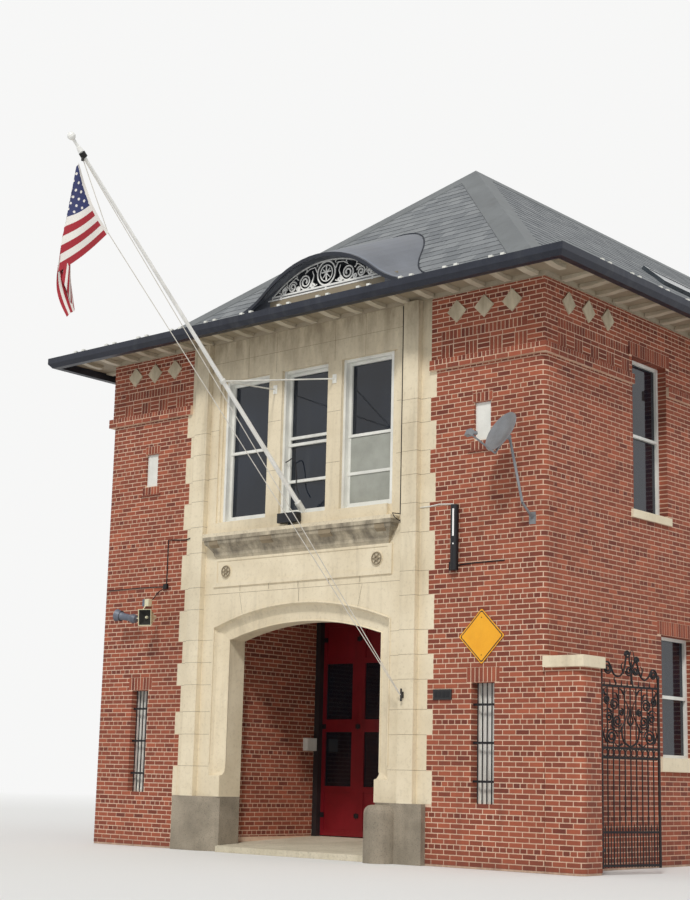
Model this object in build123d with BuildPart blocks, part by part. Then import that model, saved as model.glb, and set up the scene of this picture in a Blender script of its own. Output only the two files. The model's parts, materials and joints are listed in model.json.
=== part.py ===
from build123d import *
import math
import os

# Two-storey brick fire station with a stone frontispiece, a hipped slate roof and an iron side gate.
# Millimetres. The origin is at ground level on the front wall face, midway between the side walls:
# +X runs along the front to the right seen from the street, +Y goes into the building, +Z is up.

# Main block
front_half = 4500
depth = 17400
front_wall = 470
side_wall = 400
rear_wall_thick = 400
wall_top = 8160
course = 70.6
corner_round = 90

# Storeys
floor_level = 200
ground_slab = 200
upper_level = 4360
upper_slab = 260

# Brick band and frieze
band_bottom = 7050
band_height = 150
band_out = 50
diamond_centre = 7890
diamond_half = 170
diamond_out = 25
diamond_from_quoin = 415
diamond_pitch = 490
side_diamond_first = 600
side_diamond_pitch = 525
diamonds_in_row = 3

# Toothed quoins, counted in brick courses from the first step down
quoin_half = 2565
quoin_tooth = 50
quoin_top_step = 7120
quoin_first_step = 6658
quoin_courses = [5, 6, 5, 6, 6, 8, 5, 7, 5, 5, 6, 5, 7]

# Stone frontispiece
pilaster_inner = 2060
pilaster_outer = 2340
pilaster_out = 100
granite_top = 830
granite_half = 2507
granite_front_half = 1940
granite_cant_depth = 30
guard_radius = 240
guard_height = 800
guard_x = 1780
guard_round = 110
guard_facets = 4

# Arch: the inner edge of the opening, and how far the hollow moulding opens out at the face
arch_half = 1565
arch_spring = 3270
arch_crown = 3510
cove_wide = 245
cove_spring_rise = 190
cove_crown_rise = 270
cove_depth = 120
cove_stop = 1150

# Panel over the arch and the cornice at the sills
cornice_bottom = 4560
cornice_shelf = 4842
cornice_top = 4955
cornice_half = 1950
cornice_out = 200
panel_half = 1840
panel_bottom = 4110
panel_out = 25
panel_margin = 75
panel_sink = 12
rosette_x = 1560
rosette_radius = 105
rosette_out = 12

# Upper windows of the front
window_low = 5150
window_high = 7500
window_meeting = 6300
extra_bar_drop = 590
middle_half = 487
mullion_width = 280
stage_half = 1760
sill_out = 60
frame_back = 140
frame_depth = 45
frame_width = 50
rail_width = 45
glass_thick = 6
jamb_step = 55
jamb_step_depth = 30

# Slit windows and small panels of the front wall
slit_from_corner = 1020
slit_width = 394
slit_low = 860
slit_high = 2500
small_panel_from_corner = 1053
small_panel_width = 294
small_panel_low = 5918
small_panel_high = 6477
small_panel_niche = 60
small_panel_thick = 25

# Windows of the sides and rear
side_window_width = 1010
side_window_first = 2850
side_window_pitch = 3900
side_windows_in_row = 4
lower_window_low = 1200
lower_window_high = 3000
rear_window_pitch = 2700
sill_height = 120
sill_lip = 40
sill_lug = 70

# Porch behind the arch
porch_half = 1750
porch_depth = 2500
porch_wall_thick = 300
porch_ceiling_low = 3850
porch_ceiling_thick = 40
porch_floor_front = -100
porch_floor_low = 90
porch_nose_half = 1500
running_gap = 5

# Folding doors
door_half = 1730
door_low = 215
door_high = 3750
door_thick = 55
leaf_gap = 0.5
leaf_stile = 150
leaf_meeting_stile = 135
leaf_count = 4
lower_glass = (1020, 1910)
upper_glass = (2117, 3044)
panel_recess = 15
bottom_panel = (305, 930)
head_panel = (3134, 3660)
post_width = 100
post_depth = 100

# Eaves and gutter, measured out from the wall face
eaves_out = 680
soffit_level = 8215
roof_foot = 8260
bed_mould_out = 60
bed_mould_toe = 25
gutter_out = 850
gutter_bottom = 8090
gutter_sheet = 12
gutter_toe_in = 60
gutter_lip = 70
modillion_pitch = 461.3
modillion_width = 115
modillion_short = 20
modillion_depth = 55
modillion_waist = 38
modillion_tip = 22
modillion_past_corner = 350
modillion_from_corner = 200

# Roof
ridge_rise = 3880
slate_thick = 150
mitre_gap = 0.3
cap_width = 300
cap_thick = 20
roof_light_x = (1460, 1920)
roof_light_y = (7900, 10900)
roof_light_height = 80
roof_light_frame = 60
roof_light_glass_set = 10

# Eyebrow dormer
eyebrow_front = 300
eyebrow_pitch = 0.415
eyebrow_half = 2200
eyebrow_crown = 9459
eyebrow_height = 800
eyebrow_crown_radius = 1750
eyebrow_back = 2600
eyebrow_facets = 28
rim_depth = 100
rim_height = 65
grille_front = 440
grille_thick = 25
grille_half = 1200
grille_low = 8930
grille_crown = 9380
grille_bar = 28
grille_rod = 16
grille_foot = 60
grille_foot_width = 32
grille_foot_out = 20
grille_feet_share = 0.8
medallion_lap = 4
medallion_bore = 0.68
boss_share = 0.3
scroll_facets = 14
scroll_eye = 0.3

# Flagpole, its braces and rope
pole_foot_y = 30
pole_foot_z = 5217
pole_tip_y = -4880
pole_tip_z = 9717
pole_foot_radius = 38
pole_tip_radius = 22
pole_ball_radius = 60
ball_facets = 3
shoe_radius = 52
shoe_length = 160
shoe_plate = 130
brace_y = -1805
brace_collar_radius = 46
brace_collar_length = 50
brace_rod_radius = 11
brace_plate_z = 7215
brace_plate_size = (80, 140)
brace_plate_thick = 12
rope_radius = 6
rope_spacing = 24
rope_head_y = -4692
cleat_from_edge = 185
cleat_z = 2340
cleat_length = 180
cleat_stand = 45
cleat_radius = 14

# Flag on the rope: distances from the pole's head along the rope's own upright plane, and heights
flag_thick = 60
flag_low_corner = (412, 8490)
flag_fly = [(-120, 7224), (-197, 7820)]
flag_hoist_start = 0.1
flag_hoist_end = 0.97

# Fittings on the front wall
dish_from_corner = 350
dish_stand = 480
dish_level = 5840
dish_radius = 310
dish_hollow = 60
dish_sheet = 8
dish_facing = (-0.313, -0.845, 0.435)
dish_neck = 110
dish_foot_from_corner = 200
dish_foot_level = 4720
dish_foot_plate = (110, 170)
dish_elbow_out = 250
dish_elbow_rise = 180
dish_pipe_radius = 19
feed_reach = 480
feed_drop = 300
feed_bracket = (60, 120, 90)
feed_radius = 26
horn_box_from_corner = 1130
horn_box_level = 3940
horn_box_size = (150, 80, 120)
horn_drop = 275
horn_stand = 230
round_horn_shift = 110
round_horn_length = 270
round_horn_radius = (55, 105)
round_driver_radius = 80
square_horn_shift = 330
square_horn_mouth = (240, 270)
square_horn_throat = (90, 100)
square_horn_length = 240
square_driver_length = 110
horn_sheet = 10
tube_from_quoin = 445
tube_low = 4076
tube_high = 5015
tube_radius = 58
tube_clip = 40
floodlight_x = -120
floodlight_size = (400, 110, 150)
floodlight_stand = 50

# Gate pier and gate
pier_width = 580
pier_depth = 460
pier_height = 2680
cap_height = 150
cap_over = 65
cap_over_back = 20
gate_hinge_out = 550
gate_hinge_gap = 60
gate_open = 76.2
gate_length = 1100
gate_low = 80
gate_rail = 2450
gate_top = 2780
gate_stile_radius = 20
gate_bar = 32
gate_rod = 16
gate_rod_pitch = 105
gate_scrolls = 5
gate_crest = 3010
gate_band = (1700, 2000)
gate_lugs = (300, 2350)
lug_height = 40
lug_eye = 34
pin_fit = 0.5
collar_radius = 30
collar_height = 25
seat_gap = 0.3

# Worked-out places
stage_middle = middle_half + mullion_width
rear_face = depth
slope = ridge_rise / front_half
apex_z = roof_foot + ridge_rise
diamond_first = quoin_half + diamond_from_quoin
window_extra_bar = window_meeting - extra_bar_drop
slit_centre = front_half - slit_from_corner
small_panel_centre = front_half - small_panel_from_corner
gutter_toe = gutter_out - gutter_toe_in
gutter_low_lip = gutter_bottom + gutter_lip
modillion_end = eaves_out - modillion_short
modillion_reach = modillion_end - bed_mould_out
brace_plate_x = middle_half + mullion_width / 2
cleat_x = pilaster_outer - cleat_from_edge
tube_x = quoin_half + tube_from_quoin
gate_hinge_x = front_half + gate_hinge_out
gate_hinge_y = pier_depth + gate_hinge_gap
eyebrow_lift = Vector(0, 1, eyebrow_pitch)


def block(x, y, z, mode=Mode.ADD):
    """Solid between two values of x, y and z, added to or cut from the part being built."""
    with Locations(((x[0] + x[1]) / 2, (y[0] + y[1]) / 2, (z[0] + z[1]) / 2)):
        Box(x[1] - x[0], y[1] - y[0], z[1] - z[0], mode=mode)


def rod(start, end, radius, mode=Mode.ADD):
    """Round bar between two points."""
    a, b = Vector(*start), Vector(*end)
    with Locations(Plane(origin=a, z_dir=b - a).location):
        Cylinder(radius, (b - a).length, align=(Align.CENTER, Align.CENTER, Align.MIN), mode=mode)


def strip(points, width):
    """Flat bar of even width along points, in the sketch being drawn."""
    left, right = [], []
    last = len(points) - 1
    for i, (x, y) in enumerate(points):
        before, after = points[max(i - 1, 0)], points[min(i + 1, last)]
        run = math.dist(before, after)
        dx = (after[0] - before[0]) / run * width / 2
        dy = (after[1] - before[1]) / run * width / 2
        left.append((x - dy, y + dx))
        right.append((x + dy, y - dx))
    with BuildLine() as edge:
        Polyline(*left, *reversed(right), close=True)
    make_face(edge.edges())


def volute(centre, radius, turns, start, way):
    """Points of a scroll that winds in from its start angle; way is 1 or -1."""
    count = round(turns * scroll_facets)
    points = []
    for i in range(count + 1):
        angle = math.radians(start + way * 360 * turns * i / count)
        reach = radius * (1 - (1 - scroll_eye) * i / count)
        points.append((centre[0] + reach * math.cos(angle), centre[1] + reach * math.sin(angle)))
    return points


def turned(points, at, direction, mode=Mode.ADD):
    """Solid of revolution of a closed outline of (radius, distance) points about an axis."""
    with BuildSketch(Plane.XZ, mode=Mode.PRIVATE) as half:
        with BuildLine():
            Polyline(*points, close=True)
        make_face()
    solid = revolve(half.sketch, Axis.Z, mode=Mode.PRIVATE)
    with Locations(Plane(origin=at, z_dir=direction).location):
        add(solid, mode=mode)


def mirrored(piece):
    """The same piece on the other side of the middle plane of the front."""
    return piece.mirror(Plane.YZ)


def front_plane(y):
    """Upright plane facing the street, with x to the right and height up."""
    return Plane.XZ.offset(-y)


def house_sides():
    """For each side: the middle of its wall face, outward direction, direction along it and half-length."""
    middle = rear_face / 2
    return [
        (Vector(0, 0, 0), Vector(0, -1, 0), Vector(1, 0, 0), front_half),
        (Vector(front_half, middle, 0), Vector(1, 0, 0), Vector(0, 1, 0), middle),
        (Vector(0, rear_face, 0), Vector(0, 1, 0), Vector(-1, 0, 0), front_half),
        (Vector(-front_half, middle, 0), Vector(-1, 0, 0), Vector(0, -1, 0), middle),
    ]


def run_round(outline, reach):
    """One section carried along all four walls, mitred at the corners.

    The outline's points are (distance out from the wall face, height), and reach is its furthest point.
    """
    runs = []
    for middle, out, along, half in house_sides():
        with BuildPart() as run:
            with BuildSketch(Plane(origin=middle, x_dir=out, z_dir=out.cross(Vector(0, 0, 1)))):
                with BuildLine():
                    Polyline(*outline, close=True)
                make_face()
            extrude(amount=half + reach, both=True)
            for end in (along, along * -1):
                corner = middle + end * (half - mitre_gap)
                split(bisect_by=Plane(origin=corner, z_dir=end - out), keep=Keep.BOTTOM)
        runs.append(run.part)
    return runs


def quoin_edge():
    """Toothed line between stone and brick from the top down, as (x, height)."""
    narrow, wide = quoin_half - quoin_tooth, quoin_half + quoin_tooth
    points = [(narrow, wall_top), (narrow, quoin_top_step), (wide, quoin_top_step)]
    height, edge = quoin_first_step, wide
    for courses in quoin_courses:
        other = narrow if edge == wide else wide
        points += [(edge, height), (other, height)]
        height, edge = height - courses * course, other
    points.append((edge, granite_top))
    return points


def arch_outline(open_out, bottom):
    """Arched outline, from the inner edge (open_out 0) to the moulding's edge at the face (open_out 1)."""
    half = arch_half + cove_wide * open_out
    spring = arch_spring + cove_spring_rise * open_out
    crown = arch_crown + cove_crown_rise * open_out
    with BuildLine() as edge:
        Line((-half, bottom), (-half, spring))
        ThreePointArc((-half, spring), (0, crown), (half, spring))
        Line((half, spring), (half, bottom))
        Line((half, bottom), (-half, bottom))
    make_face(edge.edges())


def window_frame(sill, width, height, rails, solid=False):
    """Painted frame with rails at the given heights; sill is the plane at the opening's bottom middle."""
    with BuildPart() as frame:
        with BuildSketch(sill):
            with Locations((0, height / 2)):
                Rectangle(width, height)
            if not solid:
                bounds = [frame_width] + [r + s * rail_width / 2 for r in rails for s in (-1, 1)]
                bounds.append(height - frame_width)
                for low, high in zip(bounds[::2], bounds[1::2]):
                    with Locations((0, (low + high) / 2)):
                        Rectangle(width - 2 * frame_width, high - low, mode=Mode.SUBTRACT)
        extrude(amount=-frame_depth)
    return frame.part


def window_pane(sill, width, height):
    """Sheet of glass against the back of a frame."""
    with BuildPart() as pane:
        with BuildSketch(sill.offset(-frame_depth)):
            with Locations((0, height / 2)):
                Rectangle(width - frame_width, height - frame_width)
        extrude(amount=-glass_thick)
    return pane.part


# Passage under the arch with the hollow moulding round its front edge
with BuildPart() as arch_passage:
    with BuildSketch(front_plane(-1)):
        arch_outline(0, -1)
    extrude(amount=-(front_wall + 2))
    for step in range(4):
        angle = math.radians(30 * step)
        with BuildSketch(front_plane(cove_depth * math.sin(angle))):
            arch_outline(math.cos(angle), cove_stop + cove_wide * (1 - math.cos(angle)) / 2)
    loft(ruled=True)

# Brick walls of the front
with BuildPart() as front_wall_right:
    with BuildSketch(front_plane(0)):
        with BuildLine():
            Polyline(
                *quoin_edge(),
                (granite_half, granite_top),
                (granite_half, 0),
                (front_half, 0),
                (front_half, wall_top),
                close=True,
            )
        make_face()
        with Locations((slit_centre, (slit_low + slit_high) / 2)):
            Rectangle(slit_width, slit_high - slit_low, mode=Mode.SUBTRACT)
    extrude(amount=-front_wall)
    niche_left = small_panel_centre - small_panel_width / 2
    block(
        (niche_left, niche_left + small_panel_width),
        (0, small_panel_niche),
        (small_panel_low, small_panel_high),
        Mode.SUBTRACT,
    )
    with BuildSketch(Plane.XY):
        with Locations((front_half - corner_round / 2, corner_round / 2)):
            Rectangle(corner_round, corner_round)
        with Locations((front_half - corner_round, corner_round)):
            Circle(corner_round, mode=Mode.SUBTRACT)
    extrude(amount=band_bottom, mode=Mode.SUBTRACT)

# Side and rear walls
side_inner = front_half - side_wall
rear_inner = rear_face - rear_wall_thick
side_rows = [side_window_first + i * side_window_pitch for i in range(side_windows_in_row)]
rear_rows = [-rear_window_pitch, 0, rear_window_pitch]
storeys = [(window_low, window_high), (lower_window_low, lower_window_high)]


def side_openings():
    """Middle, low edge and high edge of each window in a side wall; the porch bay has none below."""
    upper = [(y, *storeys[0]) for y in side_rows]
    lower = [(y, *storeys[1]) for y in side_rows[1:]]
    return upper + lower


def rear_openings():
    """Middle, low edge and high edge of each window in the rear wall."""
    return [(x, low, high) for low, high in storeys for x in rear_rows]


with BuildPart() as right_wall:
    block((side_inner, front_half), (front_wall, rear_inner), (0, wall_top))
    for middle, low, high in side_openings():
        edges = (middle - side_window_width / 2, middle + side_window_width / 2)
        block((side_inner, front_half), edges, (low - sill_height, high), Mode.SUBTRACT)

with BuildPart() as rear_wall:
    block((-front_half, front_half), (rear_inner, rear_face), (0, wall_top))
    for middle, low, high in rear_openings():
        edges = (middle - side_window_width / 2, middle + side_window_width / 2)
        block(edges, (rear_inner, rear_face), (low - sill_height, high), Mode.SUBTRACT)

# Stone sills of the side and rear windows, with lugs past the openings
side_sill_pieces = []
for middle, low, high in side_openings():
    with BuildPart() as side_sill:
        edges = (middle - side_window_width / 2, middle + side_window_width / 2)
        block((side_inner, front_half), edges, (low - sill_height, low))
        lugs = (edges[0] - sill_lug, edges[1] + sill_lug)
        block((front_half, front_half + sill_lip), lugs, (low - sill_height, low))
    side_sill_pieces += [side_sill.part, mirrored(side_sill.part)]
for middle, low, high in rear_openings():
    with BuildPart() as side_sill:
        edges = (middle - side_window_width / 2, middle + side_window_width / 2)
        block(edges, (rear_inner, rear_face), (low - sill_height, low))
        lugs = (edges[0] - sill_lug, edges[1] + sill_lug)
        block(lugs, (rear_face, rear_face + sill_lip), (low - sill_height, low))
    side_sill_pieces.append(side_sill.part)
with BuildPart() as side_sills:
    add(side_sill_pieces)

# Projecting brick band, broken by the stone frontispiece
band_section = [
    (0, band_bottom),
    (band_out, band_bottom),
    (band_out, band_bottom + band_height),
    (0, band_bottom + band_height),
]
band_runs = run_round(band_section, band_out)
with BuildPart() as brick_band:
    add(band_runs)
    stone_edge = quoin_half + quoin_tooth
    block(
        (-stone_edge, stone_edge),
        (-band_out, 0),
        (band_bottom, band_bottom + band_height),
        Mode.SUBTRACT,
    )

# Stone diamonds of the frieze, on the front and at the front end of each side
with BuildPart() as frieze_diamonds:
    with BuildSketch(front_plane(0)):
        for i in range(diamonds_in_row):
            with Locations(*[(s * (diamond_first + i * diamond_pitch), diamond_centre) for s in (-1, 1)]):
                Rectangle(diamond_half * math.sqrt(2), diamond_half * math.sqrt(2), rotation=45)
    extrude(amount=diamond_out)
    with BuildSketch(Plane(origin=(front_half, 0, 0), x_dir=(0, 1, 0), z_dir=(1, 0, 0))):
        for i in range(diamonds_in_row):
            with Locations((side_diamond_first + i * side_diamond_pitch, diamond_centre)):
                Rectangle(diamond_half * math.sqrt(2), diamond_half * math.sqrt(2), rotation=45)
    extrude(amount=diamond_out)
    with BuildSketch(Plane(origin=(-front_half, 0, 0), x_dir=(0, -1, 0), z_dir=(-1, 0, 0))):
        for i in range(diamonds_in_row):
            with Locations((-side_diamond_first - i * side_diamond_pitch, diamond_centre)):
                Rectangle(diamond_half * math.sqrt(2), diamond_half * math.sqrt(2), rotation=45)
    extrude(amount=diamond_out)

# Toothed quoins with the pilaster beside the arch
with BuildPart() as quoin_pier_right:
    with BuildSketch(front_plane(0)):
        with BuildLine():
            Polyline(*quoin_edge(), (pilaster_inner, granite_top), (pilaster_inner, wall_top), close=True)
        make_face()
    extrude(amount=-front_wall)
    block((pilaster_inner, pilaster_outer), (-pilaster_out, 0), (granite_top, wall_top))

# Granite base of the pier, canted towards the opening
with BuildPart() as granite_base_right:
    with BuildSketch(Plane.XY):
        with BuildLine():
            Polyline(
                (arch_half, front_wall),
                (arch_half, granite_cant_depth),
                (granite_front_half, -pilaster_out),
                (granite_half, -pilaster_out),
                (granite_half, front_wall),
                close=True,
            )
        make_face()
    extrude(amount=granite_top)

# Rounded guard stone against the right-hand base
guard_outline = [(0, 0), (guard_radius, 0)]
for i in range(guard_facets + 1):
    angle = math.radians(90 * i / guard_facets)
    reach = guard_radius - guard_round * (1 - math.cos(angle))
    guard_outline.append((reach, guard_height - guard_round * (1 - math.sin(angle))))
guard_outline.append((0, guard_height))
with BuildPart() as guard_stone:
    turned(guard_outline, (guard_x, -pilaster_out, 0), (0, 0, 1))
    add(granite_base_right.part, mode=Mode.SUBTRACT)
    block((0, arch_half), (-guard_radius * 2, front_wall), (0, guard_height), Mode.SUBTRACT)
    block((guard_x - guard_radius, guard_x + guard_radius), (0, front_wall), (0, guard_height), Mode.SUBTRACT)

# Stone jambs and head of the arch
with BuildPart() as arch_jamb_right:
    block((arch_half, pilaster_inner), (0, front_wall), (granite_top, arch_spring))
    add(arch_passage.part, mode=Mode.SUBTRACT)

with BuildPart() as arch_head:
    block((-pilaster_inner, pilaster_inner), (0, front_wall), (arch_spring, cornice_shelf))
    add(arch_passage.part, mode=Mode.SUBTRACT)

# Bare panel over the arch with a sunk field and two plain rosettes
with BuildPart() as panel_over_arch:
    block((-panel_half, panel_half), (-panel_out, 0), (panel_bottom, cornice_bottom))
    block(
        (-panel_half + panel_margin, panel_half - panel_margin),
        (-panel_out, panel_sink - panel_out),
        (panel_bottom + panel_margin, cornice_bottom - panel_margin / 2),
        Mode.SUBTRACT,
    )
    with BuildSketch(front_plane(panel_sink - panel_out)):
        with Locations(*[(s * rosette_x, (panel_bottom + cornice_bottom) / 2 + 15) for s in (-1, 1)]):
            Circle(rosette_radius)
    extrude(amount=rosette_out)

# Cornice: widening courses under a square-edged shelf, returned at both ends
cornice_levels = [(0, 0.12), (0.18, 0.3), (0.34, 0.34), (0.62, 0.62), (0.8, 0.88), (1, 0.92)]
with BuildPart() as sill_cornice:
    for rise, share in cornice_levels:
        out = cornice_out * share
        level = cornice_bottom + (cornice_shelf - cornice_bottom) * rise
        half = cornice_half - cornice_out + out
        with BuildSketch(Plane.XY.offset(level)):
            with Locations((0, -out / 2)):
                Rectangle(2 * half, out)
    loft(ruled=True)
    block((-cornice_half, cornice_half), (-cornice_out, 0), (cornice_shelf, cornice_top))
    block((-pilaster_inner, pilaster_inner), (0, front_wall), (cornice_shelf, cornice_top))

# Sill block, mullions, jambs and lintel of the upper windows
with BuildPart() as window_sill:
    block((-stage_half, stage_half), (-sill_out, front_wall), (cornice_top, window_low))

with BuildPart() as mullion_right:
    block((middle_half, stage_middle), (0, front_wall), (window_low, window_high))

with BuildPart() as window_jamb_right:
    block((stage_half, pilaster_inner), (0, front_wall), (cornice_top, window_high))
    for step in (1, 2):
        block(
            (stage_half, stage_half + step * jamb_step),
            (0, (3 - step) * jamb_step_depth),
            (window_low, window_high),
            Mode.SUBTRACT,
        )

with BuildPart() as window_lintel:
    block((-pilaster_inner, pilaster_inner), (0, front_wall), (window_high, wall_top))

# Sash windows of the front: the middle and right ones have one more bar
front_openings = [
    (-(stage_middle + stage_half) / 2, stage_half - stage_middle, []),
    (0, 2 * middle_half, [window_extra_bar - window_low]),
    ((stage_middle + stage_half) / 2, stage_half - stage_middle, [window_extra_bar - window_low]),
]
upper_height = window_high - window_low
meeting = window_meeting - window_low
front_frames, front_panes = [], []
for middle, width, bars in front_openings:
    sill = Plane(origin=(middle, frame_back, window_low), x_dir=(1, 0, 0), z_dir=(0, -1, 0))
    front_frames.append(window_frame(sill, width, upper_height, bars + [meeting]))
    front_panes.append(window_pane(sill, width, upper_height))

slit_frames = []
for side in (-1, 1):
    sill = Plane(origin=(side * slit_centre, frame_back, slit_low), x_dir=(1, 0, 0), z_dir=(0, -1, 0))
    slit_frames.append(window_frame(sill, slit_width, slit_high - slit_low, []))
    front_panes.append(window_pane(sill, slit_width, slit_high - slit_low))

with BuildPart() as front_windows:
    add(front_frames)

with BuildPart() as small_windows:
    add(slit_frames)
    for side in (-1, 1):
        middle = side * small_panel_centre
        block(
            (middle - small_panel_width / 2, middle + small_panel_width / 2),
            (small_panel_niche - small_panel_thick, small_panel_niche),
            (small_panel_low, small_panel_high),
        )

with BuildPart() as front_window_glass:
    add(front_panes)

# Sash windows of the sides and rear
side_frames, side_panes = [], []
for side in (-1, 1):
    for middle, low, high in side_openings():
        sill = Plane(
            origin=(side * (front_half - frame_back), middle, low),
            x_dir=(0, side, 0),
            z_dir=(side, 0, 0),
        )
        side_frames.append(window_frame(sill, side_window_width, high - low, [(high - low) / 2]))
        side_panes.append(window_pane(sill, side_window_width, high - low))
for middle, low, high in rear_openings():
    sill = Plane(origin=(middle, rear_face - frame_back, low), x_dir=(-1, 0, 0), z_dir=(0, 1, 0))
    side_frames.append(window_frame(sill, side_window_width, high - low, [(high - low) / 2]))
    side_panes.append(window_pane(sill, side_window_width, high - low))

with BuildPart() as side_windows:
    add(side_frames)

with BuildPart() as side_window_glass:
    add(side_panes)

# Porch walls, ceiling and ramped floor
floor_underside = upper_level - upper_slab
with BuildPart() as porch_wall_right:
    block((porch_half, porch_half + porch_wall_thick), (front_wall, porch_depth), (0, floor_underside))

with BuildPart() as porch_ceiling:
    block(
        (-porch_half, porch_half),
        (front_wall, porch_depth),
        (porch_ceiling_low, porch_ceiling_low + porch_ceiling_thick),
    )

with BuildPart() as porch_floor:
    with BuildSketch(Plane.XY):
        with BuildLine():
            Polyline(
                (-porch_nose_half, porch_floor_front),
                (porch_nose_half, porch_floor_front),
                (porch_nose_half, 0),
                (arch_half - running_gap, 0),
                (arch_half - running_gap, front_wall),
                (porch_half, front_wall),
                (porch_half, porch_depth),
                (-porch_half, porch_depth),
                (-porch_half, front_wall),
                (-arch_half + running_gap, front_wall),
                (-arch_half + running_gap, 0),
                (-porch_nose_half, 0),
                close=True,
            )
        make_face()
    extrude(amount=floor_level)
    ramp = math.atan2(floor_level - porch_floor_low, porch_depth - porch_floor_front)
    ramp_plane = Plane(
        origin=(0, porch_floor_front, porch_floor_low),
        z_dir=(0, -math.sin(ramp), math.cos(ramp)),
    )
    split(bisect_by=ramp_plane, keep=Keep.BOTTOM)

# Floors inside
outer_porch = porch_half + porch_wall_thick
with BuildPart() as ground_floor:
    block((-side_inner, side_inner), (front_wall, rear_inner), (floor_level - ground_slab, floor_level))
    block((-outer_porch, outer_porch), (front_wall, porch_depth), (0, floor_level), Mode.SUBTRACT)

with BuildPart() as upper_floor:
    block((-side_inner, side_inner), (front_wall, rear_inner), (floor_underside, upper_level))

# Folding doors in their frame
with BuildPart() as door_frame:
    block((-porch_half, porch_half), (porch_depth - post_depth, porch_depth), (floor_level, porch_ceiling_low))
    block(
        (-porch_half + post_width, porch_half - post_width),
        (porch_depth - post_depth, porch_depth),
        (floor_level, door_high),
        Mode.SUBTRACT,
    )

leaf_pitch = 2 * door_half / leaf_count


def door_leaf(index):
    """One leaf with two glazed openings and sunk panels below and above them."""
    left = -door_half + index * leaf_pitch + leaf_gap / 2
    right = left + leaf_pitch - leaf_gap
    outer_left = index % 2 == 0
    inner = (
        left + (leaf_stile if outer_left else leaf_meeting_stile),
        right - (leaf_meeting_stile if outer_left else leaf_stile),
    )
    with BuildPart() as leaf:
        block((left, right), (porch_depth, porch_depth + door_thick), (door_low, door_high))
        for glass in (lower_glass, upper_glass):
            block(inner, (porch_depth, porch_depth + door_thick), glass, Mode.SUBTRACT)
        for panel in (bottom_panel, head_panel):
            for face in (porch_depth, porch_depth + door_thick - panel_recess):
                block(inner, (face, face + panel_recess), panel, Mode.SUBTRACT)
    return leaf.part, inner


door_leaves, door_panes = [], []
for index in range(leaf_count):
    leaf, inner = door_leaf(index)
    door_leaves.append(leaf)
    door_panes += [(inner, lower_glass), (inner, upper_glass)]

with BuildPart() as door_glass:
    pane_front = porch_depth + door_thick / 2 - glass_thick / 2
    for inner, heights in door_panes:
        block(
            (inner[0] + seat_gap, inner[1] - seat_gap),
            (pane_front, pane_front + glass_thick),
            (heights[0] + seat_gap, heights[1] - seat_gap),
        )

# Eaves: boards from the wall top out to the gutter, with a bed moulding
eaves_section = [
    (-side_wall, wall_top),
    (bed_mould_toe, wall_top),
    (bed_mould_out, soffit_level),
    (eaves_out, soffit_level),
    (eaves_out, roof_foot),
    (-side_wall, roof_foot),
]
eaves_runs = run_round(eaves_section, eaves_out)
with BuildPart() as eaves:
    add(eaves_runs)

# Gutter with the flat lining that runs back under the lowest slates
gutter_section = [
    (0, roof_foot),
    (eaves_out, roof_foot),
    (eaves_out, gutter_bottom),
    (gutter_toe, gutter_bottom),
    (gutter_out, gutter_low_lip),
    (gutter_out, roof_foot),
    (gutter_out - gutter_sheet, roof_foot),
    (gutter_out - gutter_sheet, gutter_low_lip + gutter_sheet / 2),
    (gutter_toe - gutter_sheet / 2, gutter_bottom + gutter_sheet),
    (eaves_out + gutter_sheet, gutter_bottom + gutter_sheet),
    (eaves_out + gutter_sheet, roof_foot + gutter_sheet),
    (0, roof_foot + gutter_sheet),
]
gutter_runs = run_round(gutter_section, gutter_out)
with BuildPart() as gutter:
    add(gutter_runs)

# Curved brackets under the soffit

def modillion(at, out):
    """One bracket; at is the point on the wall face and out the outward direction."""
    along = out.cross(Vector(0, 0, 1))
    with BuildPart() as bracket:
        with BuildSketch(Plane(origin=at, x_dir=out, z_dir=along)):
            with BuildLine():
                Polyline(
                    (bed_mould_out, soffit_level),
                    (bed_mould_out, soffit_level - modillion_depth),
                    (bed_mould_out + modillion_reach * 0.35, soffit_level - modillion_depth),
                    (bed_mould_out + modillion_reach * 0.6, soffit_level - modillion_waist),
                    (bed_mould_out + modillion_reach * 0.92, soffit_level - modillion_waist),
                    (modillion_end, soffit_level - modillion_tip),
                    (modillion_end, soffit_level),
                    close=True,
                )
            make_face()
        extrude(amount=modillion_width / 2, both=True)
    return bracket.part


def modillion_places():
    """Wall point and outward direction of every bracket, evenly spaced on each side."""
    places = []
    for number, (middle, out, along, half) in enumerate(house_sides()):
        reach = half - modillion_from_corner if number % 2 else half + modillion_past_corner
        count = int(2 * reach / modillion_pitch) + 1
        for i in range(count):
            shift = (i - (count - 1) / 2) * modillion_pitch
            places.append((middle + along * shift, out))
    return places


modillion_pieces = [modillion(at, out) for at, out in modillion_places()]
with BuildPart() as modillions:
    add(modillion_pieces)

# Roof slopes, with their feet on the eaves boards
slope_toe = slate_thick / slope
slope_section = [
    (0, roof_foot),
    (-front_half + mitre_gap, apex_z - slope * mitre_gap),
    (-front_half + mitre_gap, apex_z - slope * mitre_gap - slate_thick),
    (-slope_toe, roof_foot),
]
slope_runs = run_round(slope_section, 0)
with BuildPart() as slate_roof:
    add(slope_runs)

# Wide caps along the hips and the ridge: a thin layer over the slopes with the fields between cut out
ridge_tilt = math.atan(slope)


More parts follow.
